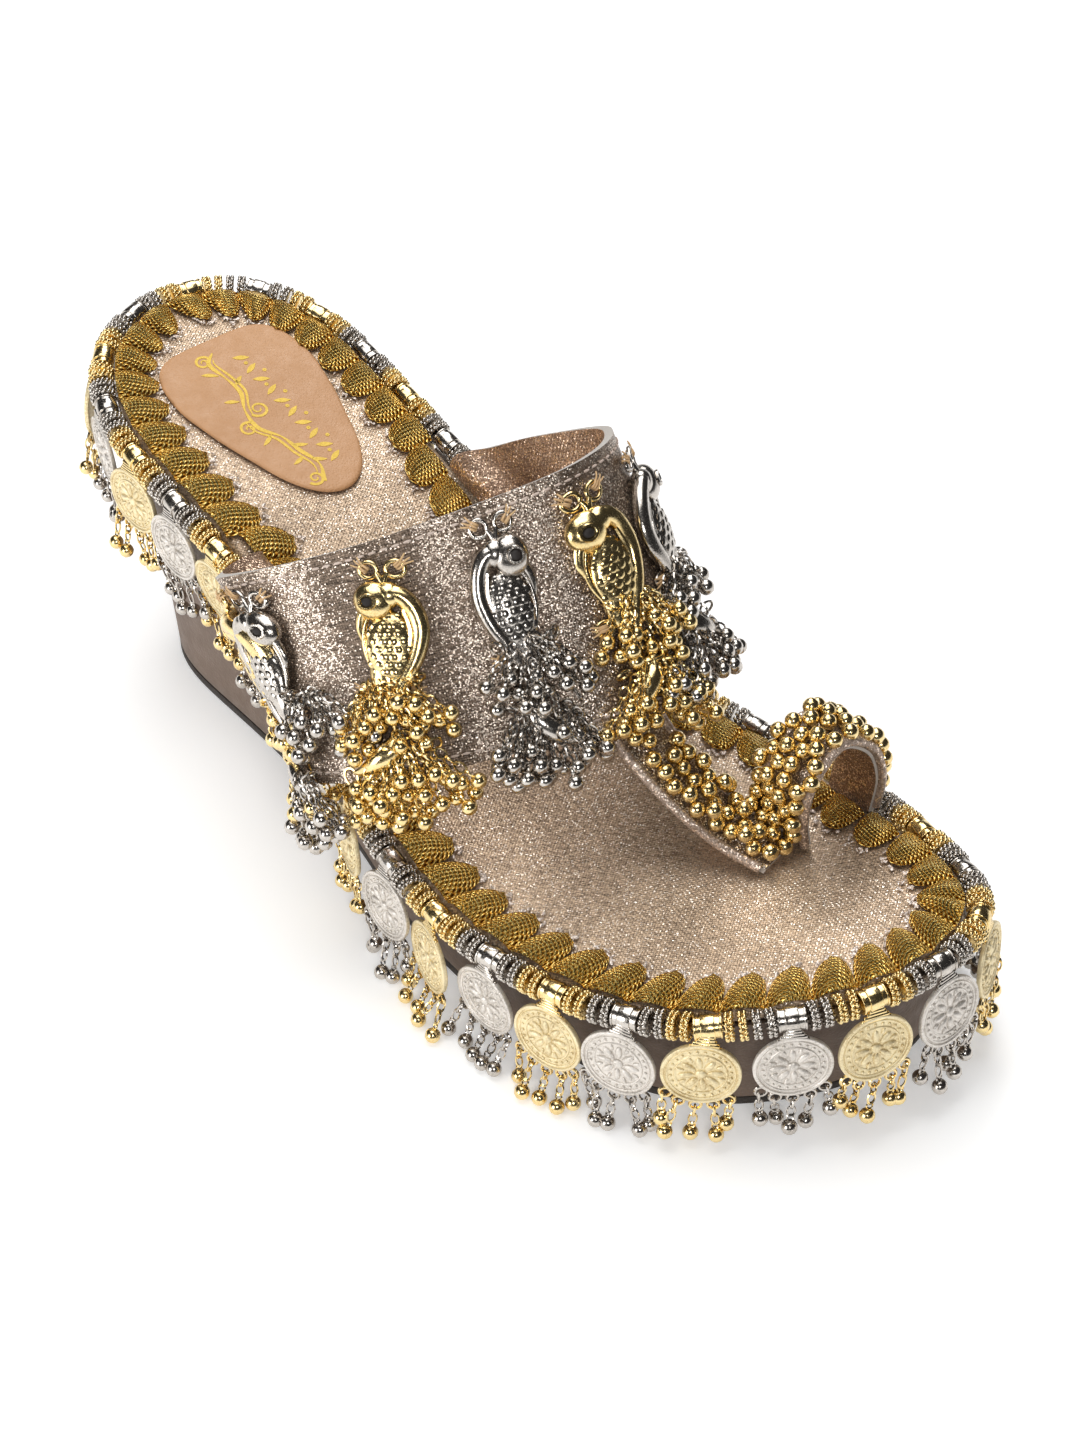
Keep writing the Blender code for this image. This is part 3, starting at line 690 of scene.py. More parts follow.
def new_group(
    name: str, inputs: Sequence[tuple[str, str]], outputs: Sequence[tuple[str, str]]
) -> tuple[bpy.types.NodeTree, Graph, bpy.types.Node, bpy.types.Node]:
    """Open a node group with named sockets.

    Args:
        name: The group's name.
        inputs: Name and kind of each input.
        outputs: Name and kind of each output.

    Returns:
        The tree, its graph, and its input and output nodes.
    """
    tree = bpy.data.node_groups.new(name, "ShaderNodeTree")
    for label, kind in inputs:
        tree.interface.new_socket(name=label, in_out="INPUT", socket_type="NodeSocket" + kind)
    for label, kind in outputs:
        tree.interface.new_socket(name=label, in_out="OUTPUT", socket_type="NodeSocket" + kind)
    return tree, Graph(tree), tree.nodes.new("NodeGroupInput"), tree.nodes.new("NodeGroupOutput")


class Effects:
    """The effects that several finishes share."""

    def __init__(self) -> None:
        """Build each node group once."""
        self.flecks = self._flecks()
        self.weave = self._weave()
        self.mottle = self._mottle()

    @staticmethod
    def _flecks() -> bpy.types.NodeTree:
        """Foil flecks: small cells that gather in clusters, each tilted its own way."""
        tree, graph, given, put = new_group(
            "foil_flecks",
            (("Vector", "Vector"), ("Scale", "Float"), ("Share", "Float"), ("Tilt", "Float")),
            (("Mask", "Float"), ("Grain", "Float"), ("Normal", "Vector")),
        )
        cells = graph.node("TexVoronoi", {"Vector": given.outputs[0], "Scale": given.outputs[1]})
        split = graph.node("SeparateColor", {0: cells.outputs["Color"]})
        coarse = graph.times(given.outputs[1], 0.3)
        cluster = graph.noise(given.outputs[0], coarse, 3.0)
        share = graph.times(given.outputs[2], graph.span(cluster, 0.35, 0.65, (0.6, 1.4)))
        mask = graph.math("LESS_THAN", split.outputs[0], share)
        off = graph.vector("SUBTRACT", cells.outputs["Color"], (0.5, 0.5, 0.5))
        lean = graph.node("VectorMath", {0: off, "Scale": given.outputs[3]}, operation="SCALE")
        normal = graph.node("NewGeometry").outputs["Normal"]
        tilted = graph.vector("ADD", normal, lean.outputs[0])
        graph.feed(put.inputs[0], mask)
        graph.feed(put.inputs[1], split.outputs[1])
        facing = graph.node("VectorMath", {0: tilted}, operation="NORMALIZE")
        graph.feed(put.inputs[2], facing.outputs[0])
        return tree

    @staticmethod
    def _weave() -> bpy.types.NodeTree:
        """Plain weave: two crossing sets of threads that pass over and under."""
        tree, graph, given, put = new_group(
            "plain_weave",
            (("Vector", "Vector"), ("Threads", "Float"), ("Slub", "Float")),
            (("Height", "Float"), ("Over", "Float")),
        )
        wander = graph.node(
            "TexNoise", {"Vector": given.outputs[0], "Scale": 90.0, "Detail": 2.0}
        )
        off = graph.vector("SUBTRACT", wander.outputs["Color"], (0.5, 0.5, 0.5))
        moved = graph.node("VectorMath", {0: off, "Scale": given.outputs[2]}, operation="SCALE")
        place = graph.vector("ADD", given.outputs[0], moved.outputs[0])
        split = graph.node("SeparateXYZ", {0: place})
        warp = graph.times(split.outputs[0], given.outputs[1])
        weft = graph.times(split.outputs[1], given.outputs[1])
        ridge_a = graph.math("ABSOLUTE", graph.math("SINE", warp))
        ridge_b = graph.math("ABSOLUTE", graph.math("SINE", weft))
        parity = graph.times(graph.math("SINE", warp), graph.math("SINE", weft))
        over = graph.math("GREATER_THAN", parity, 0.0)
        rest = graph.math("SUBTRACT", 1.0, over)
        height = graph.plus(graph.times(over, ridge_a), graph.times(rest, ridge_b))
        graph.feed(put.inputs[0], height)
        graph.feed(put.inputs[1], over)
        return tree

    @staticmethod
    def _mottle() -> bpy.types.NodeTree:
        """Slow changes of tone with fine wear, as masks from 0 to 1."""
        tree, graph, given, put = new_group(
            "mottle",
            (("Vector", "Vector"), ("Scale", "Float")),
            (("Broad", "Float"), ("Fine", "Float")),
        )
        for number, factor in ((0, 1.0), (1, 9.0)):
            scale = graph.times(given.outputs[1], factor)
            noise = graph.noise(given.outputs[0], scale, 3.0)
            graph.feed(put.inputs[number], graph.span(noise, 0.3, 0.7, (0.0, 1.0)))
        return tree


class Finish:
    """A material in the making: its tree, its shader and the places patterns are read from."""

    def __init__(self, name: str, effects: Effects) -> None:
        """Open a new material."""
        self.material = bpy.data.materials.new(name)
        self.material.use_nodes = True
        self.graph = Graph(self.material.node_tree)
        self.shader = self.material.node_tree.nodes["Principled BSDF"]
        self.effects = effects
        self.place = self.graph.node("TexCoord").outputs["Object"]
        self.uv = self.graph.node("UVMap", uv_map="UVMap").outputs[0]

    def set(self, **values: object) -> None:
        """Set or wire the shader's sockets, named with underscores."""
        for name, value in values.items():
            if isinstance(value, tuple) and len(value) == 3:
                value = (*value, 1.0)
            self.graph.feed(self.shader.inputs[name.replace("_", " ").title()], value)

    def raise_by(self, height: object, distance: float, normal: object = None) -> None:
        """Bump the surface by a height over a distance in metres."""
        inputs = {"Height": height, "Distance": distance, "Strength": 1.0}
        if normal is not None:
            inputs["Normal"] = normal
        self.set(normal=self.graph.node("Bump", inputs).outputs[0])

    def mottled(self, scale: float) -> tuple[object, object]:
        """Broad and fine masks in the object's own place."""
        made = self.graph.group(self.effects.mottle, {"Vector": self.place, "Scale": scale})
        return made.outputs[0], made.outputs[1]


class Plate(Enum):
    """The plated metals."""

    # light, dark, roughness, metallic, depth of the grain in metres
    GOLD = ((0.93, 0.74, 0.38), (0.70, 0.48, 0.18), 0.12, 1.0, 0.00003)
    SILVER = ((0.62, 0.575, 0.525), (0.36, 0.325, 0.285), 0.12, 1.0, 0.00003)
    GOLD_COIN = ((0.93, 0.81, 0.53), (0.52, 0.37, 0.15), 0.38, 0.6, 0.00008)
    FOIL = ((0.70, 0.48, 0.07), (0.58, 0.39, 0.05), 0.5, 0.3, 0.00003)
    SILVER_COIN = ((0.82, 0.77, 0.71), (0.40, 0.36, 0.31), 0.36, 0.6, 0.00008)

    def make(self, effects: Effects) -> bpy.types.Material:
        """Plated metal with duller patches and small scuffs."""
        light, dark, rough, metallic, depth = self.value
        finish = Finish(self.name.lower() + "_plate", effects)
        broad, fine = finish.mottled(260.0)
        tone = finish.graph.times(broad, fine)
        finish.set(
            metallic=metallic,
            base_color=finish.graph.mix(tone, light, dark),
            roughness=finish.graph.span(fine, 0.0, 1.0, (rough, rough + 0.16)),
        )
        finish.raise_by(finish.graph.noise(finish.place, 2600.0), depth)
        return finish.material


@dataclass(frozen=True)
class Foiled:
    """Foiled fabric: a fine weave with flecks that sparkle."""

    name: str
    light: Colour
    dark: Colour
    fleck: Colour
    threads: float
    share: float
    metallic: float
    roughness: float
    follow_uv: bool
    cell: float = 1500.0
    tilt: float = 0.55
    # painted highlight strips across the band: place and brightness of each
    painted_sheen_strips: tuple[tuple[float, float], ...] = ()
    bias: float = 0.0
    streak: float = 260.0

    def make(self, effects: Effects) -> bpy.types.Material:
        """Build the material."""
        finish = Finish(self.name, effects)
        graph = finish.graph
        place = finish.uv if self.follow_uv else finish.place
        turn = (0.0, 0.0, math.radians(self.bias))
        place = graph.node("Mapping", {0: place, "Rotation": turn}).outputs[0]
        weave = graph.group(
            effects.weave, {"Vector": place, "Threads": self.threads, "Slub": 0.0007}
        )
        broad, fine = finish.mottled(34.0)
        # Painted highlight: on the band, strips at listed places across it are lighter and thicker
        # with flecks where light catches it, and dull between; elsewhere a slow random mottle
        # varies the tone and the flecks.
        mottle_and_painted_sheen = broad
        if self.painted_sheen_strips:
            walk = graph.node("SeparateXYZ", {0: finish.uv}).outputs[0]
            stops = [(place, (bright,) * 3) for place, bright in self.painted_sheen_strips]
            mottle_and_painted_sheen = graph.ramp(graph.times(walk, 1.0 / PAINTED_SHEEN_SPAN), *stops)
            mottle_and_painted_sheen = graph.times(mottle_and_painted_sheen, graph.span(broad, 0.0, 1.0, (0.7, 1.3)))
        share = graph.span(mottle_and_painted_sheen, 0.0, 1.0, (self.share * 0.3, self.share * 3.2))
        flecks = graph.group(
            effects.flecks,
            {"Vector": finish.place, "Scale": self.cell, "Share": share, "Tilt": self.tilt},
        )
        stretch = (self.streak, 1900.0, 1900.0)
        stretched = graph.node("Mapping", {0: place, "Scale": stretch}).outputs[0]
        hatch = graph.noise(stretched, 1.0, 1.0)
        tone = graph.times(flecks.outputs[1], 0.30)
        tone = graph.plus(tone, graph.times(weave.outputs[0], 0.34))
        tone = graph.plus(tone, graph.span(hatch, 0.35, 0.65, (-0.06, 0.36)))
        tone = graph.plus(tone, graph.span(mottle_and_painted_sheen, 0.0, 1.0, (-0.10, 0.22)))
        cloth = graph.mix(tone, self.dark, self.light)
        mask = flecks.outputs[0]
        finish.set(
            base_color=graph.mix(mask, cloth, self.fleck),
            metallic=graph.span(mask, 0.0, 1.0, (self.metallic, 0.95)),
            roughness=graph.span(mask, 0.0, 1.0, (self.roughness, 0.28)),
        )
        height = graph.plus(weave.outputs[0], graph.times(fine, 0.3))
        finish.raise_by(height, 0.00006, flecks.outputs[2])
        return finish.material


@dataclass(frozen=True)
class Threads:
    """Twisted metallic thread laid in nested arcs round the root of each petal."""

    # light is the painted highlight on the twists; dark is the painted shade in the grooves between
    # the arcs and at the petals' sides
    light: Colour = (1.0, 0.78, 0.27)
    middle: Colour = (1.0, 0.49, 0.06)
    dark: Colour = (0.085, 0.028, 0.003)
    arcs: float = 74.0
    twists: float = 40.0

    def make(self, effects: Effects) -> bpy.types.Material:
        """Build the material."""
        finish = Finish("gold_thread", effects)
        graph = finish.graph
        split = graph.node("SeparateXYZ", {0: finish.uv})
        across = graph.times(graph.math("SUBTRACT", split.outputs[0], 0.42), 0.92)
        up = graph.plus(split.outputs[1], 0.05)
        squares = graph.times(across, across), graph.times(up, up)
        reach = graph.math("SQRT", graph.plus(*squares))
        around = graph.math("ARCTAN2", across, up)
        wander = graph.times(graph.noise(finish.place, 330.0, 2.0), 3.0)
        arcs = graph.plus(graph.times(reach, self.arcs), wander)
        wave = graph.math("SINE", arcs)
        turns = graph.times(graph.times(around, reach), self.twists)
        lean = graph.times(reach, self.arcs * 0.5)
        twist = graph.math("SINE", graph.times(graph.plus(turns, lean), 1.6))
        ply = graph.noise(finish.place, 2600.0, 1.0)
        # The arcs are the thread's own pattern; their grooves darken to near black as painted
        # shade, and the twists' crests brighten as painted glints.
        body = graph.span(wave, -1.0, 1.0, (0.0, 0.82))
        glint = graph.times(graph.span(twist, -1.0, 1.0, (0.0, 1.0)), ply)
        # Painted shade: each petal darker towards its two sides, where its dome turns away from the
        # light.
        edge = graph.times(graph.math("SUBTRACT", split.outputs[0], 0.5), 2.0)
        shade = graph.times(graph.times(edge, edge), -0.26)
        tone = graph.plus(body, graph.times(glint, 1.05))
        tone = graph.plus(tone, graph.plus(shade, 0.10))
        finish.set(
            base_color=graph.ramp(tone, (0.10, self.dark), (0.45, self.middle), (0.84, self.light)),
            metallic=0.95,
            roughness=graph.span(tone, 0.0, 1.0, (0.50, 0.20)),
        )
        finish.raise_by(graph.plus(wave, graph.times(twist, 0.8)), 0.00034)
        return finish.material


@dataclass(frozen=True)
class Covering:
    """Smooth or grained covering, with a slow change of tone."""

    name: str
    light: Colour
    dark: Colour
    roughness: float
    grain: float
    depth: float
    metallic: float = 0.0

    def make(self, effects: Effects) -> bpy.types.Material:
        """Build the material."""
        finish = Finish(self.name, effects)
        graph = finish.graph
        broad, fine = finish.mottled(28.0)
        cells = graph.node("TexVoronoi", {"Vector": finish.place, "Scale": self.grain})
        pits = graph.span(cells.outputs["Distance"], 0.0, 0.6, (0.0, 1.0))
        tone = graph.plus(graph.times(broad, 0.6), graph.times(fine, 0.2))
        finish.set(
            base_color=graph.mix(tone, self.light, self.dark),
            roughness=graph.span(fine, 0.0, 1.0, (self.roughness - 0.06, self.roughness + 0.1)),
            metallic=self.metallic,
        )
        finish.raise_by(graph.plus(pits, graph.times(fine, 0.6)), self.depth)
        return finish.material


@dataclass(frozen=True)
class Finishes:
    """Every finish on the shoe."""

    gold: bpy.types.Material
    silver: bpy.types.Material
    gold_coin: bpy.types.Material
    silver_coin: bpy.types.Material
    band: bpy.types.Material
    lining: bpy.types.Material
    cut_edge: bpy.types.Material
    piping: bpy.types.Material
    stitch: bpy.types.Material
    bed: bpy.types.Material
    petal: bpy.types.Material
    glint_pucker: bpy.types.Material
    tan: bpy.types.Material
    foil: bpy.types.Material
    taupe: bpy.types.Material
    rubber: bpy.types.Material
    tuft: bpy.types.Material
    eye: bpy.types.Material

    @classmethod
    def mixed(cls) -> Finishes:
        """Mix every finish."""
        band = Foiled(
            "shimmer_fabric", (0.36, 0.265, 0.195), (0.024, 0.016, 0.011), (1.0, 0.85, 0.72),
            5600.0, 0.14, 0.66, 0.38, True, 3600.0, 0.42,
            # painted highlight strips: place across the band and brightness of each
            ((0.0, 0.45), (0.10, 0.5), (0.19, 0.25), (0.217, 1.0), (0.245, 0.9), (0.27, 0.1),
             (0.33, 0.02), (0.375, 0.12), (0.40, 0.8), (0.424, 0.7), (0.45, 0.12), (0.48, 0.3),
             (0.511, 1.0), (0.54, 0.8), (0.57, 0.2), (0.63, 0.35), (0.76, 0.4), (1.0, 0.4)),
        )  # fmt: skip
        lining = Foiled(
            "copper_lining", (0.52, 0.34, 0.23), (0.10, 0.055, 0.035), (1.0, 0.74, 0.55),
            5600.0, 0.18, 0.60, 0.38, True, 3300.0, 0.4,
        )  # fmt: skip
        bed = Foiled(
            "rose_fabric", (0.77, 0.575, 0.40), (0.070, 0.043, 0.025), (1.0, 0.90, 0.79),
            5200.0, 0.036, 0.55, 0.42, False, 4000.0, 0.24, (), 56.0, 820.0,
        )  # fmt: skip
        piping = Foiled(
            "piping_fabric", (0.56, 0.43, 0.345), (0.16, 0.11, 0.08), (1.0, 0.84, 0.72),
            6200.0, 0.10, 0.45, 0.44, False, 3000.0,
        )  # fmt: skip
        coverings = {
            "cut_edge": (
                "cut_edge", (0.60, 0.57, 0.53), (0.42, 0.38, 0.34), 0.75, 2600.0, 0.0001,
            ),
            "stitch": (
                "stitch_thread", (0.70, 0.58, 0.50), (0.45, 0.34, 0.28), 0.6, 3800.0, 0.00006,
            ),
            # puckers by the petals' tips: their pale colour is a painted highlight on the pulled
            # foil
            "glint_pucker": (
                "glint_pucker_foil", (0.95, 0.86, 0.79), (0.62, 0.50, 0.42), 0.34, 2400.0, 0.00012, 0.65,
            ),
            "tan": (
                "tan_leather", (0.56, 0.30, 0.138), (0.47, 0.24, 0.104), 0.5, 1500.0, 0.00007,
            ),
            "taupe": (
                "taupe_covering", (0.20, 0.14, 0.103), (0.13, 0.088, 0.063),
                0.55, 1300.0, 0.0001, 0.1,
            ),
            "rubber": (
                "black_rubber", (0.050, 0.040, 0.033), (0.030, 0.024, 0.020), 0.72, 900.0, 0.0002,
            ),
            "tuft": (
                "tuft_thread", (0.70, 0.48, 0.26), (0.50, 0.30, 0.13), 0.7, 3000.0, 0.00006,
            ),
            "eye": (
                "dark_bead", (0.02, 0.014, 0.012), (0.01, 0.008, 0.007), 0.6, 3000.0, 0.00002,
            ),
        }  # fmt: skip
        recipes = {
            "gold": Plate.GOLD, "silver": Plate.SILVER, "gold_coin": Plate.GOLD_COIN,
            "silver_coin": Plate.SILVER_COIN, "foil": Plate.FOIL, "band": band, "lining": lining,
            "bed": bed, "piping": piping, "petal": Threads(),
        }  # fmt: skip
        recipes |= {name: Covering(*values) for name, values in coverings.items()}
        effects = Effects()
        return cls(**{name: recipe.make(effects) for name, recipe in recipes.items()})


# ---------------------------------------------------------------- sole


@dataclass
class Sole:
    """Outsole, covered wedge, padded footbed and heel patch."""

    last: Last
    shop: Workshop
    finishes: Finishes
    around: int = 260
    wall_rows: int = 14
    wall_hollow: float = 1.3
    full_height: float = 70.0
    edge_radius: float = 1.5
    seam: float = 0.005
    spine_room: float = 11.0
    under_shares: tuple[float, ...] = (0.0, 0.3, 0.6, 0.85, 0.96)
    over_shares: tuple[float, ...] = (
        0.97, 0.93, 0.88, 0.82, 0.75, 0.66, 0.55, 0.42, 0.28, 0.14, 0.0
    )  # fmt: skip
    wedge_clearance: float = 0.7
    sock_centre: tuple[float, float] = (-1.2, -47.2)
    sock_half: tuple[float, float] = (18.9, 27.4)
    sock_blunt: float = 4.6
    sock_narrow: float = 0.76
    sock_lift: float = 0.45
    sock_thickness: float = 0.9

    def build(self) -> None:
        """Make every piece of the sole."""
        self.outsole()
        self.wedge()
        self.footbed()
        self.sock()
        self.scroll()

    def _closing(self, ring: Array, surface: Surface, shares: Sequence[float]) -> list[Array]:
        """Rings between the middle line and a ring, laid on a surface.

        Args:
            ring: The ring, whose heel and toe the middle line keeps well inside.
            surface: Height at plan points.
            shares: How far out from the middle line each new ring is.

        Returns:
            The new rings.
        """
        spine = self.last.spine(self.around)
        heel, toe = ring[:, 1].max() - self.spine_room, ring[:, 1].min() + self.spine_room
        spine[:, 1] = np.clip(spine[:, 1], toe, heel)
        made = []
        for share in shares:
            plan = spine + (ring - spine) * share
            plan[:, 2] = surface(plan[:, 0], plan[:, 1])
            made.append(plan)
        return made

    def _rounded(self, rows: Sequence[tuple[Array, Array]]) -> Blank:
        """Closed form of rings round the shoe that end on its middle line above and below.

        Args:
            rows: Rings of points from the underside's edge to the top's edge, each with the
                surface that closes the form there. Only the first and last surfaces count.

        Returns:
            The form, whose seams close when it is cast.
        """
        rings = self._closing(*rows[0], self.under_shares)
        rings += [row[0] for row in rows]
        rings += self._closing(*rows[-1], self.over_shares)
        table = np.stack(rings)
        table = np.concatenate([table, table[:, :1]], axis=1)
        rise = len(rings) - 1

        def laid(points: Array) -> Array:
            return table[steps_of(points[:, 1], rise), steps_of(points[:, 0], self.around)]

        return Bench.sheet(self.around, rise).bent(laid)

    def outsole(self) -> None:
        """Thin rubber sheet under the wedge, with its lower edge broken."""
        last = self.last
        distance = last.rounds(self.around)

        def under(_: Array, y: Array) -> Array:
            return last.ground(-y)

        def over(_: Array, y: Array) -> Array:
            return last.ground(-y) + last.outsole

        rows = []
        # how far in each ring is, and its share of the sheet's thickness
        edge = ((0.7, 0.0), (0.2, 0.1), (0.0, 0.3), (0.0, 0.75), (0.15, 0.95), (0.5, 1.0))
        for inset, share in edge:
            ring = last.foot_point(distance, inset)
            ring[:, 2] = last.ground(-ring[:, 1]) + last.outsole * share
            rows.append((ring, under if share < 0.5 else over))
        self.shop.cast(
            "outsole_sheet", self._rounded(rows), [self.finishes.rubber], "rubber", ("outsole",),
            self.seam,
        )  # fmt: skip

    def wedge(self) -> None:
        """The covered wedge, whose wall leans in on its way down and hollows a little."""
        last = self.last
        distance = last.rounds(self.around)
        top, out = last.rim_at(distance, last.rim_inset)
        slope = last.rim_height(-top[:, 1] + 1.0) - last.rim_height(-top[:, 1])
        depth = last.bed_thickness * np.hypot(1.0, slope) + self.wedge_clearance
        top[:, 2] += last.bed_edge - depth + 0.25
        low = last.foot_point(distance)
        low[:, 2] = last.ground(-low[:, 1]) + last.outsole + last.gap * 0.4

        def under(_: Array, y: Array) -> Array:
            return last.ground(-y) + last.outsole + last.gap * 0.4

        def over(_: Array, y: Array) -> Array:
            bed = last.rim_height(-y) + last.bed_edge - last.bed_thickness
            return bed - self.wedge_clearance - 0.4

        inner = low - out * 0.8
        inner[:, 2] = low[:, 2]
        rows = [(inner, under)]
        tall = np.clip((top[:, 2] - low[:, 2]) / self.full_height, 0.0, 1.0)[:, None]
        for k in range(self.wall_rows + 1):
            share = 0.012 + 0.988 * k / self.wall_rows
            ring = low + (top - low) * share
            ring -= out * self.wall_hollow * math.sin(math.pi * share) * tall
            rows.append((ring, over))
        inner = top - out * 0.7
        inner[:, 2] = top[:, 2] + 0.1
        rows.append((inner, over))
        self.shop.cast(
            "wedge_cover", self._rounded(rows), [self.finishes.taupe], "taupe_covering",
            ("wedge_platform",), self.seam,
        )  # fmt: skip

    def footbed(self) -> None:
        """Padded insole with a rolled edge."""
        last, radius = self.last, self.edge_radius
        distance = last.rounds(self.around)
        reach = last.bed_thickness / 2.0

        def under(_: Array, y: Array) -> Array:
            return last.rim_height(-y) + last.bed_edge - last.bed_thickness

        rows = []
        for angle in (-90, -60, -30, 0, 30, 60, 90):
            turn = math.radians(angle)
            ring, _ = last.rim_at(distance, last.rim_inset + radius * (1.0 - math.cos(turn)))
            ring[:, 2] += last.bed_edge - reach + reach * math.sin(turn)
            rows.append((ring, under if angle < 0 else last.bed_top))
        pad = self.shop.cast(
            "footbed_pad", self._rounded(rows), [self.finishes.bed], "rose_fabric", ("footbed",),
            self.seam,
        )  # fmt: skip

    def _sock_point(self, across: Array, along: Array) -> Array:
        """Plan point of the heel patch, from places between -1 and 1 inside a circle."""
        reach = np.maximum(np.hypot(across, along), 1e-9)
        side, up = across / reach, along / reach
        power = np.where(up > 0.0, 2.0 / self.sock_blunt, 1.0)
        up = np.sign(up) * np.abs(up) ** power
        width = self.sock_narrow + (1.0 - self.sock_narrow) * smooth(up + 0.5)
        side = np.sign(side) * np.abs(side) ** power * width
        x = self.sock_centre[0] + side * self.sock_half[0] * reach
        y = self.sock_centre[1] + up * self.sock_half[1] * reach
        return np.column_stack([x, y])

    def sock(self) -> None:
        """Egg-shaped heel patch, wide towards the back, with a soft broken edge."""
        last, rings, sides, crown = self.last, 18, 96, 0.90
        heights = np.array([0.0, 0.0, 0.35, 0.75, 0.93, 1.0, 1.0])
        reaches = np.array([crown, 0.985, 1.0, 0.995, 0.98, 0.95, crown])
        reaches = np.concatenate([reaches, np.linspace(0.82, 0.0, rings - len(reaches) + 1)])
        heights = np.concatenate([heights, np.ones(len(reaches) - len(heights))])
        rows = len(reaches) - 1

        def placed(turns: Array, reach: Array, lift: Array | float) -> Array:
            turn = turns * 2.0 * np.pi
            plan = self._sock_point(np.sin(turn) * reach, np.cos(turn) * reach)
            height = last.bed_top(plan[:, 0], plan[:, 1]) + self.sock_lift + lift
            return np.column_stack([plan, height])

        def over(points: Array) -> Array:
            i = steps_of(points[:, 1], rows)
            return placed(points[:, 0], reaches[i], self.sock_thickness * heights[i])

        top = Bench.sheet(sides, rows).bent(over)
        under = Bench.sheet(sides, 6).bent(lambda p: placed(p[:, 0], crown * p[:, 1], 0.0))
        self.shop.cast(
            "heel_patch", joined([top, under]), [self.finishes.tan], "tan_leather",
            ("heel_sock",), 0.01,
        )  # fmt: skip

    def scroll(self) -> None:
        """Gold foil pressed on the heel patch: a leafy wave with curls beside a row of leaves."""
        t = np.linspace(0.0, 1.0, 60)
        knots = np.array(
            [[-1.6, 23.0], [-4.4, 20.2], [-3.6, 14.6], [-3.4, 9.0], [-6.0, 3.6], [-6.6, -2.4],
             [-3.6, -7.4], [-2.6, -13.0], [-1.2, -18.6], [-3.4, -23.6]]
        )  # fmt: skip
        wave = smooth_through(range(10), knots, t * 9.0)
        lines = [
            (wave, 0.35 + 0.75 * np.abs(np.sin(np.pi * t * 4.5))),
            (wave[5:30] + [1.3, 0.0], 0.25 + 0.45 * np.sin(np.pi * t[:25] / t[24])),
            (wave[30:56] - [1.4, 0.0], 0.25 + 0.45 * np.sin(np.pi * t[:26] / t[25])),
        ]
        curl = t * 2.9 * np.pi
        for side, x, y, size in (
            (-1.0, -5.2, 21.4, 0.72), (1.0, -4.6, -21.8, 0.72),
            (1.0, -3.0, 2.6, 0.86), (-1.0, -8.6, -1.6, 0.8),
        ):  # fmt: skip
            spiral = np.column_stack([np.cos(curl) * side, -np.sin(curl) * side])
            spiral *= (0.5 + 0.26 * curl)[:, None]
            lines.append((spiral * size + [x, y], np.linspace(0.3, 0.75, 60)))
        for x, y, dx, dy in (
            (-4.6, 16.0, -3.4, 2.2), (-3.0, 11.4, 3.0, 2.0), (-5.4, 6.6, -3.2, 1.6),
            (-5.2, -5.6, -3.6, -2.0), (-3.0, -10.6, 3.2, -1.8), (-2.0, -16.2, 3.2, -2.2),
            (-3.0, -15.0, -3.4, -1.0),
        ):  # fmt: skip
            leaf = np.column_stack([x + dx * t, y + dy * (1.4 - 0.4 * t) * t])
            lines.append((leaf, 0.12 + 0.95 * np.sin(np.pi * t)))
        for k in range(10):
            lean = 0.9 if k % 2 else -0.9
            leaf = np.column_stack([1.6 + 3.6 * t, 18.4 - 4.1 * k + lean * (2.0 * t - 1.0)])
            lines.append((leaf, 0.10 + 1.25 * np.sin(np.pi * t)))
        ribbons = [self._ribbon(path, width) for path, width in lines]
        ring = np.array([[math.cos(a), math.sin(a)] for a in np.linspace(0, 2 * np.pi, 11)])
        for k in range(9):
            spot = np.array([3.4 + 2.4 * (k % 2), 16.35 - 4.1 * k])
            ribbons.append(self._ribbon(spot + 0.3 * ring, np.full(11, 0.45)))
        self.shop.cast(
            "heel_scroll", joined(ribbons), [self.finishes.foil], "gold_plate",
            weld=0.001, wall=0.12
        )

    def _ribbon(self, path: Array, width: Array) -> Blank:
        """Flat strip of foil laid on the heel patch, from a path round the patch's centre."""
        heading = unit(np.gradient(path, axis=0))
        side = np.column_stack([-heading[:, 1], heading[:, 0]])
        count = len(path) - 1

        def laid(points: Array) -> Array:
            i = steps_of(points[:, 1], count)
            plan = path[i] + side[i] * (points[:, 0] - 0.5)[:, None] * width[i][:, None]
            x, y = plan[:, 0] + self.sock_centre[0], plan[:, 1] + self.sock_centre[1]
            lift = self.sock_lift + self.sock_thickness + 0.10
            return np.column_stack([x, y, self.last.bed_top(x, y) + lift])

        return Bench.sheet(1, count).bent(laid)


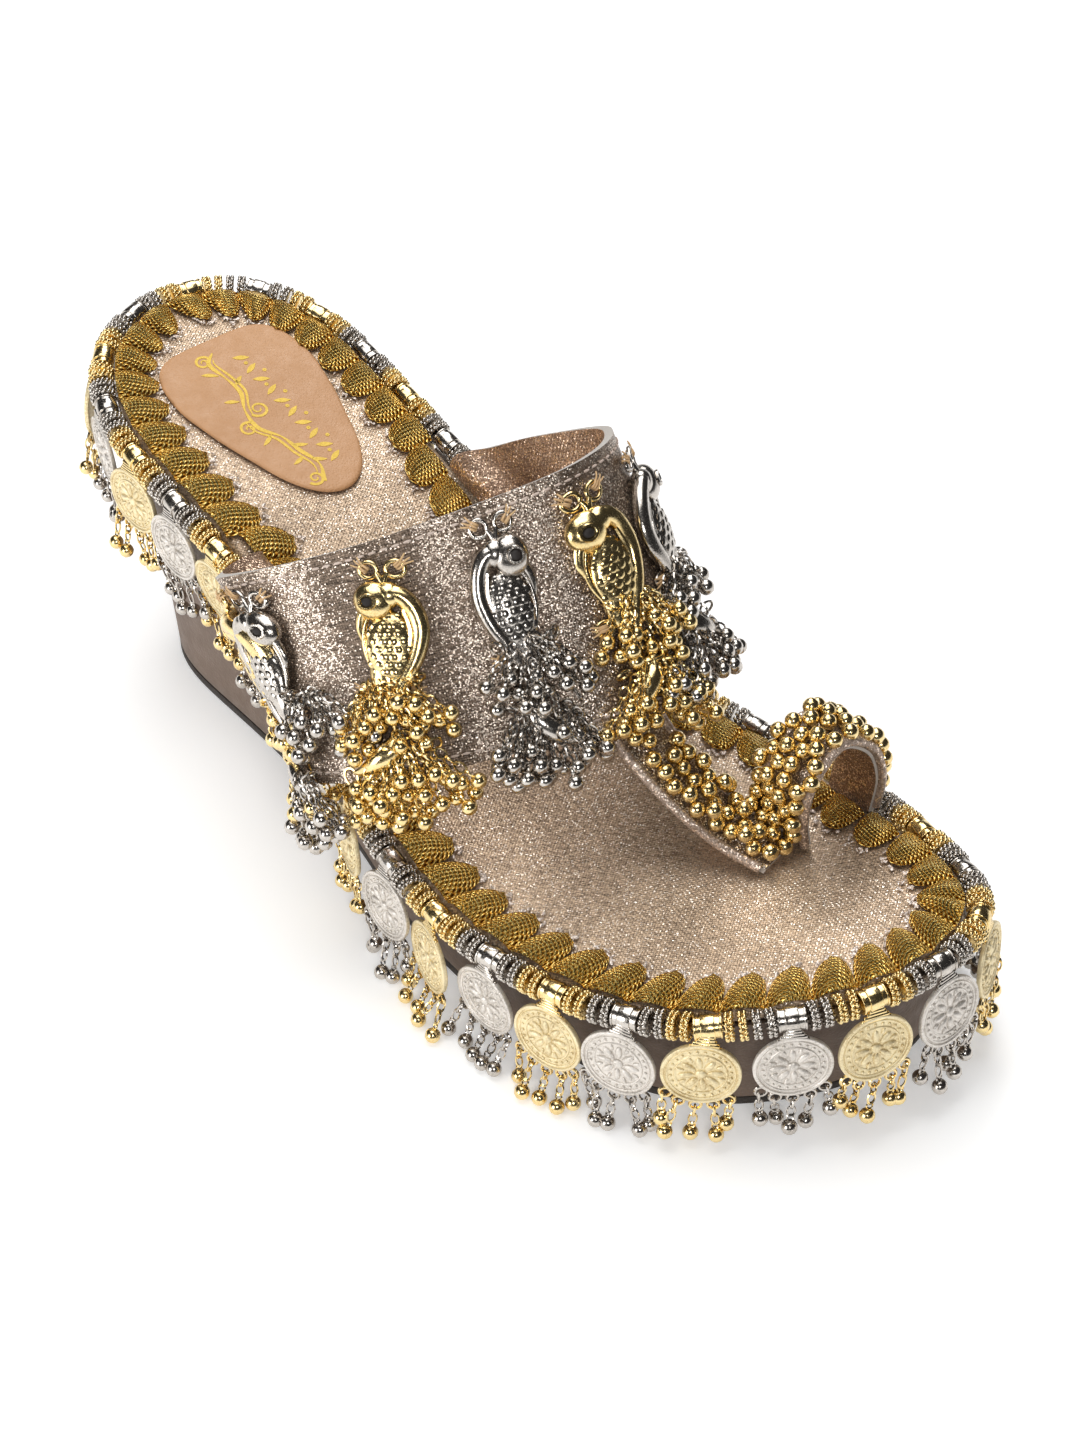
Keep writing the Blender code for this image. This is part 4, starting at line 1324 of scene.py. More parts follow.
@dataclass
class Petals:
    """Ring of thread petals round the footbed, whose tips lean towards a place by the toe."""

    last: Last
    shop: Workshop
    finishes: Finishes
    count: int = 60
    length: float = 9.9
    free_root: float = 3.3
    seam_root: float = 6.9
    rise: float = 2.4
    thickness: float = 0.6
    lean: float = 3.2
    flip_after_toe: float = 26.0
    glint_puckers_per_tip: int = 11
    seams: tuple[tuple[bool, float, float], ...] = (
        (True, 81.0, 129.0),
        (False, 81.0, 139.0),
        (False, 191.0, 204.5),
    )
    pitch: float = field(init=False)

    def __post_init__(self) -> None:
        """Work out how far apart the petals are."""
        self.pitch = self.last.rim_length / self.count

    def _stance(self, k: int) -> tuple[float, float]:
        """Distance round the trim of one petal's middle, and the way that its tip leans."""
        middle = (k + 0.5) * self.pitch
        return middle, 1.0 if middle < self.last.toe_distance + self.flip_after_toe else -1.0

    def root(self, distance: Array) -> Array:
        """Inset of the petals' outer ends, which pass inside the upper's seams."""
        root = np.full(np.shape(distance), self.free_root)
        for lateral, start, end in self.seams:
            sides = sorted(float(self.last.side_distance(a, lateral)) for a in (start, end))
            before = smooth((distance - sides[0] + 9.0) / 7.0)
            after = 1.0 - smooth((distance - sides[1] - 2.0) / 7.0)
            share = np.minimum(before, after)
            root = np.maximum(root, self.free_root + (self.seam_root - self.free_root) * share)
        return root

    def build(self) -> None:
        """Make the ring of petals."""
        last, leaf = self.last, Bench.sheet(10, 12)

        def laid(points: Array, middle: float, towards: float) -> Array:
            side, up = points[:, 0] * 2.0 - 1.0, points[:, 1]
            half = 0.50 * self.pitch * np.maximum(1.0 - up**3.6, 0.0) ** 0.5
            distance = middle + side * half + towards * self.lean * up**1.25
            inset = self.root(np.full(len(up), middle)) + self.length * up
            point, _ = last.rim_at(distance, inset)
            dome = np.maximum(1.0 - side**2, 0.0) ** 0.55
            dome *= 0.45 + 0.55 * np.sin(np.pi * up**0.75)
            crease = 0.5 * np.exp(-(((side + 0.55 * towards) / 0.22) ** 2))
            crease *= smooth((up - 0.25) / 0.5)
            lift = last.bed_top(point[:, 0], point[:, 1]) + last.gap + 0.6
            return np.column_stack([point[:, :2], lift + self.rise * dome - crease])

        stances = [self._stance(k) for k in range(self.count)]
        leaves = [leaf.bent(lambda p, stance=stance: laid(p, *stance)) for stance in stances]
        self.shop.cast(
            "thread_petals", joined(leaves), [self.finishes.petal], "gold_thread",
            ("petal_edging",), 0.0, wall=self.thickness,
        )  # fmt: skip
        self.lay_glint_puckers()

    def lay_glint_puckers(self) -> None:
        """Puckers where the stitches of the petals' tips pull the footbed's foil, painted pale as
        highlights.
        """
        last, chance = self.last, np.random.default_rng(31)
        fleck = Bench.ball(1.0, 6, 4)
        flecks = []
        for k in range(self.count):
            middle, towards = self._stance(k)
            root = float(self.root(np.array([middle]))[0])
            for side in chance.uniform(-0.9, 0.9, self.glint_puckers_per_tip):
                up = 1.0 - 0.28 * side**2
                distance = middle + side * 0.44 * self.pitch + towards * self.lean * up
                inset = root + self.length * up + 0.2 + abs(chance.normal(0.0, 0.9))
                point = last.rim_at(np.array([distance]), inset)[0][0]
                lift = float(last.bed_top(point[:1], point[1:2])[0]) + last.gap + 0.25
                flat = fleck.sized(chance.uniform(0.35, 0.95), chance.uniform(0.2, 0.45), 0.2)
                flat = flat.turned(chance.normal(0.0, 24.0), 0).turned(chance.uniform(0.0, 180.0))
                flecks.append(flat.at(point[0], point[1], lift))
        self.shop.cast("petal_glint_puckers", joined(flecks), [self.finishes.glint_pucker], "rose_fabric")


# ---------------------------------------------------------------- upper


@dataclass
class Band:
    """The surface of the instep band.

    A part goes from 0 at the little-toe seam to 1 at the big-toe seam, and a reach from 0 at the
    back edge to 1 at the front edge.
    """

    last: Last
    inset: float = 3.5
    seam_lift: float = 1.4
    lateral: tuple[float, float] = (81.0, 129.0)
    medial: tuple[float, float] = (81.0, 139.0)
    back_crown: tuple[float, float, float] = (6.0, -139.3, 101.1)
    front_crown: tuple[float, float, float] = (2.0, -172.0, 57.5)
    # across at the back edge and at the front edge, rise, lean
    section: tuple[tuple[float, float, float, float], ...] = (
        (-1.00, -1.00, 0.00, 0.00),
        (-1.02, -1.00, 0.085, 0.02),
        (-1.50, -1.33, 0.21, 0.12),
        (-1.72, -1.46, 0.43, 0.32),
        (-1.16, -1.06, 0.78, 0.73),
        (0.15, 0.02, 1.00, 1.00),
        (0.98, 0.80, 0.83, 0.80),
        (1.09, 1.02, 0.46, 0.40),
        (1.11, 1.04, 0.20, 0.15),
        (1.00, 1.00, 0.085, 0.03),
        (1.00, 1.00, 0.00, 0.00),
    )

    def point(self, part: Array, reach: Array) -> Array:
        """Outer face of the band."""
        last, seams = self.last, []
        for lateral, (start, end) in ((True, self.lateral), (False, self.medial)):
            distance = last.side_distance(start + (end - start) * reach, lateral)
            point, _ = last.rim_at(distance, self.inset)
            point[:, 2] = last.bed_top(point[:, 0], point[:, 1]) + last.gap + self.seam_lift
            seams.append(point)
        back, front = np.array(self.back_crown), np.array(self.front_crown)
        crown = back + (front - back) * reach[:, None]
        middle, half = (seams[0] + seams[1]) / 2.0, (seams[1] - seams[0]) / 2.0
        places = np.linspace(0.0, 1.0, len(self.section))
        rows = smooth_through(places, np.array(self.section), part)
        across = rows[:, 0] + (rows[:, 1] - rows[:, 0]) * reach
        climb = np.column_stack([rows[:, 2], rows[:, 3], rows[:, 2]])
        return middle + half * across[:, None] + (crown - middle) * climb

    def frame(self, part: Array, reach: Array) -> tuple[Array, Array, Array, Array]:
        """Points of the band with the steps across and forward per unit, and the outward normal."""
        step = 0.004
        point = self.point(part, reach)
        across = (self.point(part + step, reach) - self.point(part - step, reach)) / (2 * step)
        along = (self.point(part, reach + step) - self.point(part, reach - step)) / (2 * step)
        return point, across, along, unit(np.cross(along, across))

    def folded(self, part: Array, reach: Array) -> Array:
        """Outer face with soft folding, pulled in between charms and rippled above the seams."""
        point, _, _, off = self.frame(part, reach)
        pulls = 0.75 * np.sin(part * 2.0 * np.pi * 13.0) * np.exp(-(((part - 0.42) / 0.2) ** 2))
        pulls *= 0.35 + 0.65 * reach
        seam = np.minimum(part, 1.0 - part)
        ripples = 0.5 * np.sin(reach * 2.0 * np.pi * 4.3 + part * 9.0)
        ripples *= np.exp(-(((seam - 0.1) / 0.07) ** 2))
        creases = 0.5 * np.sin(part * 31.0 + reach * 5.0) * np.exp(-(((part - 0.75) / 0.12) ** 2))
        return point + off * (pulls + ripples + creases * (1.0 - reach))[:, None]

    def on(self, place: float, spots: Array) -> Array:
        """Carry points from a flat card on the band onto its curve.

        Args:
            place: Where the card's middle line lies between the seams.
            spots: Across (to the big toe), forward from the back edge, and off the band.

        Returns:
            The carried points; those past the front edge hang down under their own weight.
        """
        line = np.linspace(0.0, 1.0, 41)
        walk = self.point(np.full(41, place), line)
        lengths = walked(walk)
        forward = np.clip(spots[:, 1], 0.0, lengths[-1])
        reach = np.interp(forward, lengths, line)
        _, across, _, _ = self.frame(np.full(len(reach), place), reach)
        part = place + spots[:, 0] / np.linalg.norm(across, axis=1)
        point, _, along, off = self.frame(part, reach)
        over = np.maximum(spots[:, 1] - lengths[-1], 0.0)[:, None]
        fall = unit(unit(along) * 0.75 - 0.8 * UP)
        return point + off * spots[:, 2:] + fall * over


@dataclass
class Upper:
    """Instep band, toe strap, toe loop and the tab between the toes, with piping and stitches."""

    last: Last
    shop: Workshop
    finishes: Finishes
    band: Band
    thickness: float = 2.0
    strap_width: float = 12.5
    strap_thickness: float = 1.8
    stitch_pitch: float = 2.6
    stitch_inset: float = 2.5
    stitch_size: tuple[float, float] = (1.9, 0.30)
    piping_radius: float = 1.15
    band_cells: tuple[int, int] = (150, 64)
    band_depth: float = 0.055
    # x, y, z, turn, tilt
    strap: tuple[tuple[float, float, float, float, float], ...] = (
        (2.6, -168.4, 61.9, -4.0, 0.0),
        (2.4, -173.6, 55.2, 2.0, 0.0),
        (6.5, -184.0, 44.6, 16.0, 3.0),
        (12.0, -193.0, 36.4, 18.0, 3.0),
        (16.9, -203.4, 32.5, 12.0, 0.0),
    )
    # x, rise, lean
    loop: tuple[tuple[float, float, float], ...] = (
        (23.0, 0.3, 0.0),
        (21.8, 9.0, 0.0),
        (24.6, 18.5, 0.5),
        (33.0, 24.2, 1.0),
        (41.8, 19.5, 0.5),
        (45.2, 10.0, 0.0),
        (44.0, 0.3, 0.0),
    )
    loop_front: float = -204.0

    @property
    def layers(self) -> list[bpy.types.Material]:
        """Finishes of a strap's outer face, its lining and its cut edge."""
        return [self.finishes.band, self.finishes.lining, self.finishes.cut_edge]

    def build(self) -> None:
        """Make the band, then the toe pieces, then what is sewn along their edges."""
        self.shell()
        self.toe_strap()
        self.toe_loop()
        self.tab()
        self.stitching()
        self.piping()

    def shell(self) -> None:
        """The band itself, with its lining and its pale cut edge."""
        columns, rows = self.band_cells
        sheet = Bench.sheet(columns, rows)
        part = np.linspace(0.0, 1.0, columns + 1)
        arc = walked(self.band.point(part, np.full(columns + 1, 0.3))) * MM
        across = np.interp(sheet.uvs[:, 0], part, arc)
        sheet.uvs = np.column_stack([across, sheet.uvs[:, 1] * self.band_depth])
        shell = sheet.bent(lambda p: self.band.folded(p[:, 0], p[:, 1]))
        middle = np.array([0.0, -135.0, 60.0])
        self.shop.cast(
            "instep_band", shell, self.layers, "shimmer_fabric", ("upper",),
            wall=self.thickness, rim_slots=(1, 2), outward=lambda p: unit(p - middle),
        )  # fmt: skip

    def strap_point(self, step: Array, side: Array) -> Array:
        """Upper face of the toe strap: step 0..1 along it, side -1..1 across it."""
        table = np.array(self.strap)
        rows = smooth_through(range(len(table)), table, step * (len(table) - 1))
        turn, tilt = np.radians(rows[:, 3]), np.radians(rows[:, 4])
        half = self.strap_width / 2.0 * side
        flat = np.cos(tilt) * half
        return np.column_stack(
            [
                rows[:, 0] + flat * np.cos(turn),
                rows[:, 1] + flat * np.sin(turn),
                rows[:, 2] + np.sin(tilt) * half,
            ]
        )

    def loop_point(self, step: Array, depth: Array) -> Array:
        """Outer face of the toe loop: step 0..1 along the arch, depth 0..1 from front to back."""
        table = np.array(self.loop)
        rows = smooth_through(range(len(table)), table, step * (len(table) - 1))
        y = self.loop_front + rows[:, 2] + self.strap_width * depth
        z = self.last.bed_top(rows[:, 0], y) + rows[:, 1] + self.last.gap
        return np.column_stack([rows[:, 0], y, z])

    def toe_strap(self) -> None:
        """Strap from under the band's front edge to the tab between the toes."""

        def laid(points: Array) -> Array:
            point = self.strap_point(points[:, 1], points[:, 0] * 2.0 - 1.0)
            point[:, 2] += 0.5 * np.cos((points[:, 0] - 0.5) * np.pi)
            return point

        sheet = Bench.sheet(12, 60)
        sheet.uvs = sheet.uvs * np.array([self.strap_width * MM, 0.05])
        self.shop.cast(
            "toe_strap", sheet.bent(laid), self.layers, "shimmer_fabric",
            wall=self.strap_thickness, rim_slots=(1, 2),
        )  # fmt: skip

    def toe_loop(self) -> None:
        """The arch over the big toe, lined in copper."""
        sheet = Bench.sheet(12, 90)
        sheet.uvs = sheet.uvs * np.array([self.strap_width * MM, 0.07])
        arch = sheet.bent(lambda p: self.loop_point(p[:, 1], p[:, 0]))
        middle = np.array([33.0, -198.0, 36.0])
        self.shop.cast(
            "toe_loop", arch, self.layers, "shimmer_fabric",
            wall=self.strap_thickness, rim_slots=(1, 2), outward=lambda p: unit(p - middle),
        )  # fmt: skip

    def tab(self) -> None:
        """The rounded tab that goes down between the toes, through its slit."""
        step = (len(self.strap) - 2.3) / (len(self.strap) - 1)
        x, y, _ = map(float, self.strap_point(np.array([step]), np.array([0.35]))[0])
        low = float(self.last.bed_top(np.array([x]), np.array([y]))[0]) + self.last.gap
        Bench.clear()
        bpy.ops.mesh.primitive_cube_add(size=1.0)
        tab = bpy.context.object
        tab.scale = (9.0, 3.0, 4.0)
        bpy.ops.object.transform_apply(scale=True)
        Bench.edit(tab)
        bpy.ops.mesh.bevel(offset=0.9, segments=4, affect="EDGES")
        Bench.clear()
        self.shop.cast(
            "toe_tab", Blank.taken(tab).turned(-42.0).at(x, y, low + 2.0),
            [self.finishes.lining], "shimmer_fabric",
        )  # fmt: skip

    def _sewn(self, path: Array, normals: Array) -> list[Blank]:
        """Row of stitches along a path that lies on a surface.

        Args:
            path: Points of the row.
            normals: The surface's outward normal at each of them.

        Returns:
            One blank for each stitch.
        """
        lengths, (long, half) = walked(path), self.stitch_size
        stitch = Bench.ball(1.0, 6, 4).turned(90.0, 1).sized(long / 2.0, half, half * 0.8)
        places = np.arange(self.stitch_pitch / 2.0, lengths[-1], self.stitch_pitch)
        spots, ahead = read_at(places, lengths, path), read_at(places + 0.4, lengths, path)
        offs = unit(read_at(places, lengths, normals))
        made = []
        for spot, off, nose in zip(spots, offs, ahead):
            along = nose - spot
            if np.linalg.norm(along) < 1e-6:
                continue
            along = unit(along)
            made.append(stitch.set_on(spot + off * 0.12, along, np.cross(off, along), off))
        return made

    def stitching(self) -> None:
        """Stitch rows along both edges of the band."""
        stitches: list[Blank] = []
        part = np.linspace(0.02, 0.98, 240)
        for reach, inset in ((0.0, self.stitch_inset), (1.0, -self.stitch_inset)):
            reaches = np.full(len(part), reach)
            _, _, along, off = self.band.frame(part, reaches)
            moved = reaches + inset / np.linalg.norm(along, axis=1)
            stitches += self._sewn(self.band.folded(part, moved), off)
        self.shop.cast("band_stitching", joined(stitches), [self.finishes.stitch], "shimmer_fabric")

    def piping(self) -> None:
        """Piping along both edges of the toe strap and the toe loop."""
        rods: list[Blank] = []
        t = np.linspace(0.22, 0.97, 60)
        for side in (-1.0, 1.0):
            path = self.strap_point(t, np.full(len(t), side))
            path[:, 2] -= 0.5
            rods.append(Bench.rod(path, self.piping_radius, 10))
        t = np.linspace(0.02, 0.98, 90)
        for depth in (0.0, 1.0):
            path = self.loop_point(t, np.full(len(t), depth))
            rods.append(Bench.rod(path, self.piping_radius, 10))
        self.shop.cast(
            "toe_piping", joined(rods), [self.finishes.piping], "shimmer_fabric", weld=0.003
        )


@dataclass
class Beadwork:
    """Small plated beads sewn close together on the toe strap and the toe loop."""

    shop: Workshop
    finishes: Finishes
    upper: Upper
    radius: float = 1.92
    strap_span: tuple[float, float] = (0.34, 0.985)
    loop_span: tuple[float, float] = (0.10, 0.92)
    crowding: float = 1.66
    sink: float = 0.8

    def build(self) -> None:
        """Sew three columns of beads on the toe strap and four on the loop, as one piece."""
        ball = Bench.ball(self.radius, 12, 8)
        spots = np.vstack(
            [
                self._packed(
                    self.upper.strap_point, self.strap_span, 3, (-0.56, 0.80), 0.12,
                    np.array([8.0, -186.0, 0.0]),
                ),
                self._packed(
                    self.upper.loop_point, self.loop_span, 4, (0.10, 0.98), 0.22,
                    np.array([33.0, -198.0, 34.0]),
                ),
            ]
        )  # fmt: skip
        blank = joined([ball.at(*spot) for spot in spots])
        self.shop.cast("toe_beads", blank, [self.finishes.gold], "gold_plate", ("bead_cover",))

    def _packed(
        self,
        surface: Surface,
        span: tuple[float, float],
        columns: int,
        edge: tuple[float, float],
        loose: float,
        centre: Array,
    ) -> Array:
        """Bead centres over a strap, pushed apart until they only touch.

        Args:
            surface: The strap's outer face.
            span: Where the beads start and end along it.
            columns: How many stand side by side.
            edge: Where the outer columns stand across it.
            loose: How far out of line they are, in rows.
            centre: A point behind the face.

        Returns:
            The centres.
        """
        chance = np.random.default_rng(11)
        middle = np.full(60, (edge[0] + edge[1]) / 2.0)
        length = walked(surface(np.linspace(*span, 60), middle))[-1]
        rows = int(length / (self.radius * self.crowding))
        places, sides = np.meshgrid(np.arange(rows), np.arange(columns), indexing="ij")
        stagger = 0.5 * (sides % 2)
        along = span[0] + (span[1] - span[0]) * (places + stagger + 0.25) / rows
        across = edge[0] + (edge[1] - edge[0]) * sides / (columns - 1)
        along = np.clip((along + chance.normal(0.0, loose / rows, along.shape)).ravel(), *span)
        across = (across + chance.normal(0.0, 0.3 * loose, across.shape)).ravel()
        base = surface(along, across)
        ahead = surface(along + 0.006, across) - surface(along - 0.006, across)
        beside = surface(along, across + 0.02) - surface(along, across - 0.02)
        off = unit(np.cross(ahead, beside))
        off *= np.sign((off * (base - centre)).sum(axis=1))[:, None]
        low = self.radius * self.sink
        spots = base + off * (low + chance.uniform(0.0, 0.9, len(base))[:, None])
        for _ in range(40):
            spots = spots + 0.3 * pushes(spots, 1.96 * self.radius)
            height = ((spots - base) * off).sum(axis=1)
            spots += off * np.maximum(low - height, 0.0)[:, None]
        return spots


# ---------------------------------------------------------------- trim


@dataclass
class Trim:
    """String of tubes and granulated wheels round the rim."""

    last: Last
    shop: Workshop
    finishes: Finishes
    count: int = 36
    tube_radius: float = 2.35
    tube_length: float = 5.8
    wheel_radius: float = 3.15
    wheels: int = 4
    grain: float = 0.52
    grains: int = 15

    @staticmethod
    def _ring(radius: float, width: float, sides: int, bevel: float) -> Blank:
        """A drum lying along X."""
        return Blank.taken(Bench.drum(radius, width, sides, bevel)).turned(90.0, 1)

    def _tube(self) -> Blank:
        """A smooth tube along X with collars at its ends and the coin's strap over its middle."""
        drum = Bench.drum(self.tube_radius, self.tube_length, 24)
        Bench.pick_faces(drum, lambda centre, normal: abs(normal[2]) > 0.9)
        bpy.ops.mesh.inset(thickness=0.6)
        bpy.ops.mesh.extrude_region_move()
        bpy.ops.transform.resize(value=(1.0, 1.0, 0.7), center_override=(0.0, 0.0, 0.0))
        Bench.clear()
        tube = Blank.taken(drum).turned(90.0, 1)
        collar = self._ring(self.tube_radius + 0.2, 0.45, 24, 0.1)
        collars = [collar.at(side * (self.tube_length / 2.0 - 0.25), 0.0) for side in (-1.0, 1.0)]
        strap = self._ring(self.tube_radius + 0.28, 2.9, 24, 0.12)
        return joined([tube, *collars, strap])

    def _wheel(self) -> Blank:
        """A wheel about X with two rows of grains round its edge, set in zigzag."""
        hub = self._ring(self.wheel_radius - 0.75, 1.5, 16, 0.2)
        grain = Bench.ball(self.grain, 7, 4)
        grains = []
        for side in (-1.0, 1.0):
            first = grain.at(side * 0.5, self.wheel_radius - 0.5)
            turns = [360.0 / self.grains * (k + 0.25 * side) for k in range(self.grains)]
            grains += [first.turned(turn, 0) for turn in turns]
        return joined([hub, *grains])

    def build(self) -> None:
        """String the trim: silver and gold tubes in turn, four wheels in each gap."""
        tube, wheel = self._tube(), self._wheel()
        pitch = self.last.rim_length / self.count
        chance = np.random.default_rng(5)
        strung: dict[str, list[Blank]] = {"gold": [], "silver": []}
        free = pitch - self.tube_length
        for k in range(self.count):
            own, other = ("gold", "silver") if k % 2 else ("silver", "gold")
            middle = (k + 0.5) * pitch
            stops = [(middle, tube, own)]
            for j in range(self.wheels):
                place = middle + self.tube_length / 2.0 + free * (j + 0.5) / self.wheels
                stops.append((place, wheel, own if j < self.wheels // 2 else other))
            for place, shape, plate in stops:
                point, *frame = (row[0] for row in self.last.trim_frame(np.array([place])))
                spin, tilt = chance.uniform(0.0, 25.0), chance.normal(0.0, 4.0)
                made = shape.turned(spin if shape is wheel else 0.0, 0).turned(tilt, 2)
                strung[plate].append(made.set_on(point, *frame))
        for plate, blanks in strung.items():
            self.shop.cast(
                f"trim_{plate}", joined(blanks), [getattr(self.finishes, plate)],
                f"{plate}_plate", ("bead_trim",), smooth_angle=60.0,
            )  # fmt: skip


@dataclass
class Pendants:
    """Coins hanging from the tubes, each with a grooved neck and five balls on links."""

    last: Last
    shop: Workshop
    finishes: Finishes
    count: int = 36
    radius: float = 8.3
    thickness: float = 1.1
    drop: float = 10.9
    lever: float = 1.6
    standoff: float = 2.3
    nods: tuple[float, float] = (3.0, -6.0)
    ball: float = 1.75
    chain: float = 8.8
    lug_angles: tuple[float, ...] = (-45.0, -23.0, 0.0, 23.0, 45.0)
    # where the nod starts to change towards the toe, and over how far
    nod_from: float = 110.0
    nod_run: float = 110.0
    # rise over the coin's edge, width and thickness of each bar of the neck
    neck: tuple[tuple[float, float, float], ...] = (
        (-0.7, 6.6, 0.9),
        (0.1, 5.6, 0.9),
        (0.9, 4.3, 0.95),
        (1.7, 3.3, 1.0),
        (2.5, 2.9, 1.05),
    )

    def _coin(self) -> Blank:
        """The coin in its own plane, its face towards +Z, with a double rim and a rosette."""
        drum = Bench.drum(self.radius, self.thickness, 48, 0.2)
        for side in (1.0, -1.0):
            Bench.pick_faces(drum, lambda centre, normal, side=side: normal[2] * side > 0.99)
            bpy.ops.mesh.inset(thickness=0.45)
            bpy.ops.mesh.inset(thickness=0.2)
            bpy.ops.transform.translate(value=(0.0, 0.0, -0.34 * side))
        Bench.clear()
        coin = Blank.taken(drum)
        face = self.thickness / 2.0 - 0.34
        leaf = Bench.ball(1.0, 8, 6)
        relief = [leaf.sized(1.3, 1.3, 0.7).at(0.0, 0.0, face)]
        for k in range(8):
            turn = 45.0 * k
            relief.append(leaf.sized(0.8, 1.8, 0.6).at(0.0, 3.0, face).turned(turn))
            relief.append(leaf.sized(0.42, 0.95, 0.45).at(0.0, 4.4, face).turned(turn + 22.5))
        dot = Bench.ball(0.38, 6, 4).at(0.0, 6.2, face + 0.02)
        relief += [dot.turned(15.0 * k) for k in range(24)]
        rings = [Bench.hoop(r, 0.26, 40, 5).at(0.0, 0.0, face) for r in (5.35, 7.05)]
        return joined([coin, *relief, *rings])

    def _hanger(self) -> Blank:
        """Neck plate that narrows from the coin up to the tube's strap."""
        bars = []
        for rise, wide, thick in self.neck:
            bar = Blank.taken(Bench.drum(0.52, wide, 10, 0.15)).turned(90.0, 1)
            bars.append(bar.sized(1.0, 1.0, thick).at(0.0, self.radius - 0.2 + rise))
        return joined(bars)

    def _lugs(self) -> Blank:
        """Five pierced lugs round the coin's lower edge."""
        lug = Bench.hoop(1.2, 0.36, 14, 6)
        return joined([lug.at(0.0, -self.radius - 0.95).turned(angle) for angle in self.lug_angles])

    def _fringe(self, chance: np.random.Generator, turn: Array, middle: Array) -> Blank:
        """Links and balls hanging from the lugs, which pile outwards where they reach the floor.

        Args:
            chance: Where their small differences come from.
            turn: The coin's three directions, as rows.
            middle: The coin's middle, in the last's place.

        Returns:
            The hanging pieces, in the last's place.
        """
        link, ball, cap = self.drops
        made = []
        for angle in self.lug_angles:
            tilt = math.radians(angle)
            lug = np.array([math.sin(tilt), -math.cos(tilt), 0.0]) * (self.radius + 1.7)
            spot = middle + lug @ turn
            hang = self.chain * chance.uniform(0.72, 1.05)
            room = float(spot[2]) - self.ball - 0.1
            if room < hang:
                away = min(math.sqrt(hang**2 - room**2), 4.5) * chance.uniform(0.55, 1.0)
                end = spot + [0.0, 0.0, -room] + turn[2] * [1.0, 1.0, 0.0] * away
            else:
                end = spot + unit(chance.normal(0.0, 0.12, 3) - UP) * hang
            end = end + turn[0] * chance.normal(0.0, 0.8)
            line = unit(end - spot)
            side = unit(np.cross(line, turn[2]))
            front = np.cross(side, line)
            reach = float(np.linalg.norm(end - spot))
            free = reach - self.ball - 1.1
            for k in range(2):
                x, y = (side, front) if k else (front, side)
                long = link.sized(free * 0.31, 0.85, 1.0)
                made.append(long.set_on(spot + line * free * (0.22 + 0.5 * k), line, x, y))
            made.append(cap.set_on(end - line * (self.ball + 0.55), line, side, front))
            made.append(ball.at(*end))
        return joined(made)

    def _hung(self, shape: Blank, tilts: Sequence[float], point: Array, out: Array) -> Blank:
        """Hang a shape that is drawn round the coin's middle.

        Args:
            shape: The shape.
            tilts: Its swing, yaw and nod in degrees.
            point: The middle of its tube.
            out: Away from the sole.

        Returns:
            The shape in the last's place.
        """
        shape = shape.at(0.0, self.lever - self.drop)
        for axis, tilt in zip((2, 1, 0), tilts):
            shape = shape.turned(tilt, axis)
        return shape.set_on(point - UP * self.lever, np.cross(UP, out), UP, out)

    @staticmethod
    def _axes() -> Blank:
        """The origin and a step along each axis, with no faces."""
        none = np.zeros(0, np.int32)
        return Blank(np.vstack([np.zeros(3), np.eye(3)]), none, none, none, np.zeros((0, 2)))

    def build(self) -> None:
        """Hang a coin from every tube."""
        link, cap = Bench.hoop(1.0, 0.26, 12, 5), Bench.hoop(0.72, 0.24, 10, 4)
        self.drops = link, Bench.ball(self.ball, 12, 8), cap
        coin = self._coin()
        hanger = joined([self._hanger(), self._lugs()])
        pitch = self.last.rim_length / self.count
        chance = np.random.default_rng(23)
        for k in range(self.count):
            point, out = self.last.rim_at(np.array([(k + 0.5) * pitch]), -self.standoff)
            point, out = point[0], out[0]
            gold = k % 2 == 1
            swing, yaw = chance.normal(0.0, 2.5), chance.normal(0.0, 5.0)
            front = float(smooth((-point[1] - self.nod_from) / self.nod_run))
            nod = self.nods[0] + (self.nods[1] - self.nods[0]) * front + chance.normal(0.0, 2.5)
            spun = coin.turned(chance.uniform(-14.0, 14.0))
            tilts = (swing, yaw, nod)
            hung = self._hung(joined([spun, hanger]), tilts, point, out)
            axes = self._hung(self._axes(), tilts, point, out).points
            fringe = self._fringe(chance, axes[1:] - axes[0], axes[0])
            hung.slots = (np.arange(len(hung.sizes)) >= len(coin.sizes)).astype(np.int32)
            finish = self.finishes.gold_coin if gold else self.finishes.silver_coin
            plate = self.finishes.gold if gold else self.finishes.silver
            self.shop.cast(
                f"coin_drop_{k + 1:02d}", joined([hung, fringe.painted(1)]), [finish, plate],
                "gold_plate" if gold else "silver_plate", (f"coin_pendant_{k + 1:02d}",),
            )  # fmt: skip


# ---------------------------------------------------------------- charms


@dataclass(frozen=True)
class Perch:
    """Where a charm sits between the seams, how far its bells spread, and how it lies there."""

    place: float
    spread: float
    step: tuple[float, float]
    turn: float
    size: float
    upper: tuple[float, float]
    lower: tuple[float, float]
    breadth: float = 1.0


